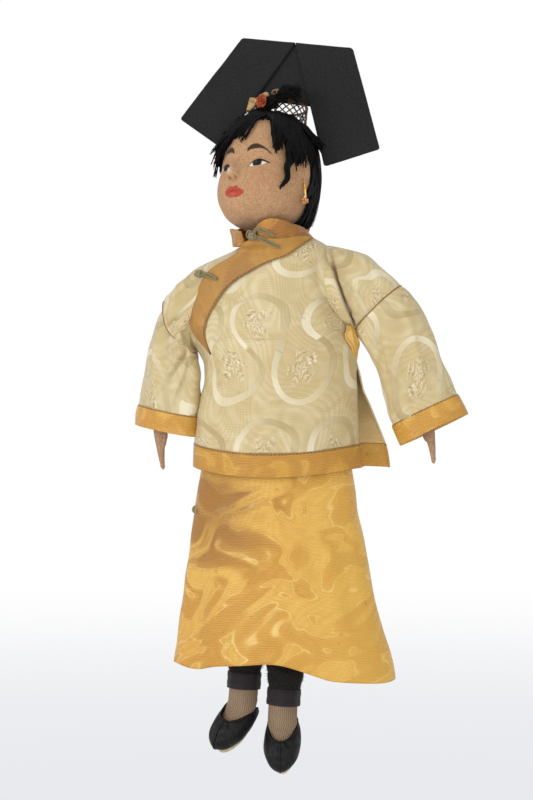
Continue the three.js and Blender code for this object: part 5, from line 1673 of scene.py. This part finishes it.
def make_comb():
    rows = [((-4.8, -11.8, 34.4), 2.1, 1.5, 7.4, [("Z", 20), ("Y", 8), ("X", 84)]),
            ((-1.6, -11.4, 35.6), 1.5, 1.2, 4.4, [("Z", -10), ("Y", -14), ("X", 78)]),
            ((3.4, -11.4, 38.6), 1.6, 1.2, 2.8, [("Y", 25), ("X", 40)]),
            ((9.4, -10.4, 39.8), 1.7, 1.1, 2.8, [("Y", -20), ("X", 35)])]
    loops = [curl("loop", *row, CANE) for row in rows]
    settle(joined("hair_comb_cane", *loops), "head", ["hair_comb"])


EARRING = {"left": (16.597, -8.432, 107.051), "right": (-28.174, 11.423, 100.599)}
EARRING_AXES = turned(("Z", -25))
BEADS = [((-0.9, -0.4, -8.6), 1.25), ((0.9, -0.3, -8.9), 1.2), ((0.0, 0.7, -9.6), 1.25),
         ((-0.3, -0.8, -10.1), 1.1)]


def bead(name, middle, radius, material, where):
    """A wound bead: a ball pressed flatter, with its two ends pushed in round the thread hole."""
    ball = primitive("uv_sphere", name, segments=24, ring_count=14, radius=radius * MM)
    bpy.ops.transform.resize(value=(1.0, 1.0, 0.9))
    bpy.ops.object.mode_set(mode="OBJECT")
    points = points_of(ball)
    far = np.hypot(points[:, 0], points[:, 1])
    points[:, 2] *= 1 - 0.28 * hump(far, 0.45 * radius)
    move_points(ball, points + middle, where)
    return coated(ball, material)


def make_earring(name):
    where = (EARRING_AXES, np.array(EARRING[name]))
    turn = np.linspace(0.1, 2 * math.pi, 30)
    hook = np.stack([-1.7 + 1.7 * np.cos(turn), 0 * turn, 0.4 + 1.5 * np.sin(turn)], -1)
    drop = along([(-0.2, 0, -0.6), (0.1, 0, -2), (0.25, 0, -4.5), (0.1, 0, -7.4)], 14)
    aside = np.array([0.8 * SIDES[name], 0, 0])
    drop[:, 0] -= aside[0] * drop[:, 2] / 7.4
    wire = cords(f"{name}_earring_wire", [put(hook, where), put(drop, where)], [0.32, 0.55], GILT)
    settle(wire, f"{name}_earring", [f"{name}_earring_hook"])
    beads = [bead(f"bead_{k}", aside + middle, radius, GLASS, where)
             for k, (middle, radius) in enumerate(BEADS)]
    beads.append(bead("pearl", aside + (0.3, -0.5, -7.4), 0.8, PEARL, where))
    glass = joined(f"{name}_earring_glass", *beads)
    settle(glass, f"{name}_earring", [f"{name}_earring_beads"])


# Stuffed body under the clothes

def make_stuffed(solid, thin_at=None):
    """A stuffed muslin piece in a plain solid's place, thinned at the top of thin_at."""
    piece = linked(f"{solid}_stuffed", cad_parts[solid].data.copy())
    piece.data.materials.clear()
    applied(piece, "REMESH", mode="VOXEL", voxel_size=1.5 * MM)
    applied(piece, "SMOOTH", factor=0.5, iterations=4)
    if thin_at:
        axes, origin = thin_at
        points = (points_of(piece) - origin) @ axes
        points[:, :2] *= 1 - 0.55 * (1 - ease(-points[:, 2:], 8, 32))
        move_points(piece, points, thin_at)
    settle(coated(piece, MUSLIN), solid, [solid])


# Stage

FLOOR_HEIGHT, FLOOR_RADIUS, FLOOR_RIM = -0.26, 4.0, 3.2
WHITE, STUDIO_LIGHT = (1, 1, 1, 1), 0.6
LAMPS = {"key": ((-1.0, -1.4, 0.42), 12), "fill": ((0.9, -1.6, 0.05), 9)}
LAMP_SIZE = 1.3
TARGET, DISTANCE, TURN, LIFT = Vector((-5.3, -1.4, -5.2)) * MM, 1.5, math.radians(15), math.radians(2)
LENS, SENSOR = 129.8, 36


def make_stage():
    """A pale round floor that keeps the doll's shadow and fades to the white of the studio further off."""
    circle = {"vertices": 96, "radius": FLOOR_RADIUS, "fill_type": "NGON", "location": (0, 0, FLOOR_HEIGHT)}
    floor = primitive("circle", "floor", **circle)
    bpy.ops.mesh.inset(thickness=FLOOR_RIM)
    bpy.ops.object.mode_set(mode="OBJECT")
    t = Finish("floor_paper", 0.9, 0.1)
    t.link(colour(247, 247, 249), t.shader, "Base Color")
    far = t.node("ShaderNodeVectorMath", {0: t.place}, operation="LENGTH").outputs["Value"]
    tint = t.mixed(t.ranged(far, 0.3, 1.7), (238, 239, 243), (255, 255, 255))
    white = t.node("ShaderNodeEmission", {"Color": tint, "Strength": 1.0})
    share = t.mul(t.seen(), t.ranged(far, 0.3, 1.5, 0.8, 1.0))
    both = t.node("ShaderNodeMixShader", {0: share, 1: t.shader.outputs[0], 2: white.outputs[0]})
    t.link(both.outputs[0], t.tree.nodes["Material Output"], "Surface")
    floor.data.materials.append(t.made)

    world = bpy.data.worlds.new("studio")
    bpy.context.scene.world = world
    world.use_nodes = True
    t = Tree(world.node_tree)
    soft = t.tree.nodes["Background"]
    t.link(WHITE, soft, "Color")
    t.link(STUDIO_LIGHT, soft, "Strength")
    white = t.node("ShaderNodeBackground", {"Color": WHITE, "Strength": 1.0})
    both = t.node("ShaderNodeMixShader", {0: t.seen(), 1: soft.outputs[0], 2: white.outputs[0]})
    t.link(both.outputs[0], t.tree.nodes["World Output"], "Surface")

    for name, (place, power) in LAMPS.items():
        light = bpy.data.lights.new(name, "AREA")
        light.size = LAMP_SIZE
        light.energy = power
        lamp = linked(name, light)
        lamp.location = place
        lamp.rotation_euler = (-Vector(place)).to_track_quat("-Z", "Y").to_euler()


def make_camera():
    """A long lens a little to the doll's left of its front, as the photograph was taken."""
    away = Vector((math.sin(TURN) * math.cos(LIFT), -math.cos(TURN) * math.cos(LIFT), math.sin(LIFT)))
    data = bpy.data.cameras.new("camera")
    data.sensor_fit = "VERTICAL"
    data.sensor_height = SENSOR
    data.lens = LENS
    camera = linked("camera", data)
    camera.location = TARGET + away * DISTANCE
    camera.rotation_euler = (-away).to_track_quat("-Z", "Y").to_euler()
    bpy.context.scene.camera = camera
    bpy.context.scene.view_settings.view_transform = "Standard"


make_camera()
make_stage()
make_jacket_body()
make_lapel()
make_collar()
make_frogs()
make_skirt()
for side_name in SIDES:
    make_sleeve(side_name)
    make_hand(side_name)
    make_leg(side_name)
    make_stocking(side_name)
    make_shoe(side_name)
    make_earring(side_name)
    make_stuffed(f"{side_name}_upper_arm")
    make_stuffed(f"{side_name}_forearm", forearm_frame(side_name))
    make_stuffed(f"{side_name}_leg")
make_stuffed("torso")
make_stuffed("neck")
make_head()
make_hair_cap()
make_locks()
make_headdress()
make_flower()
make_comb()
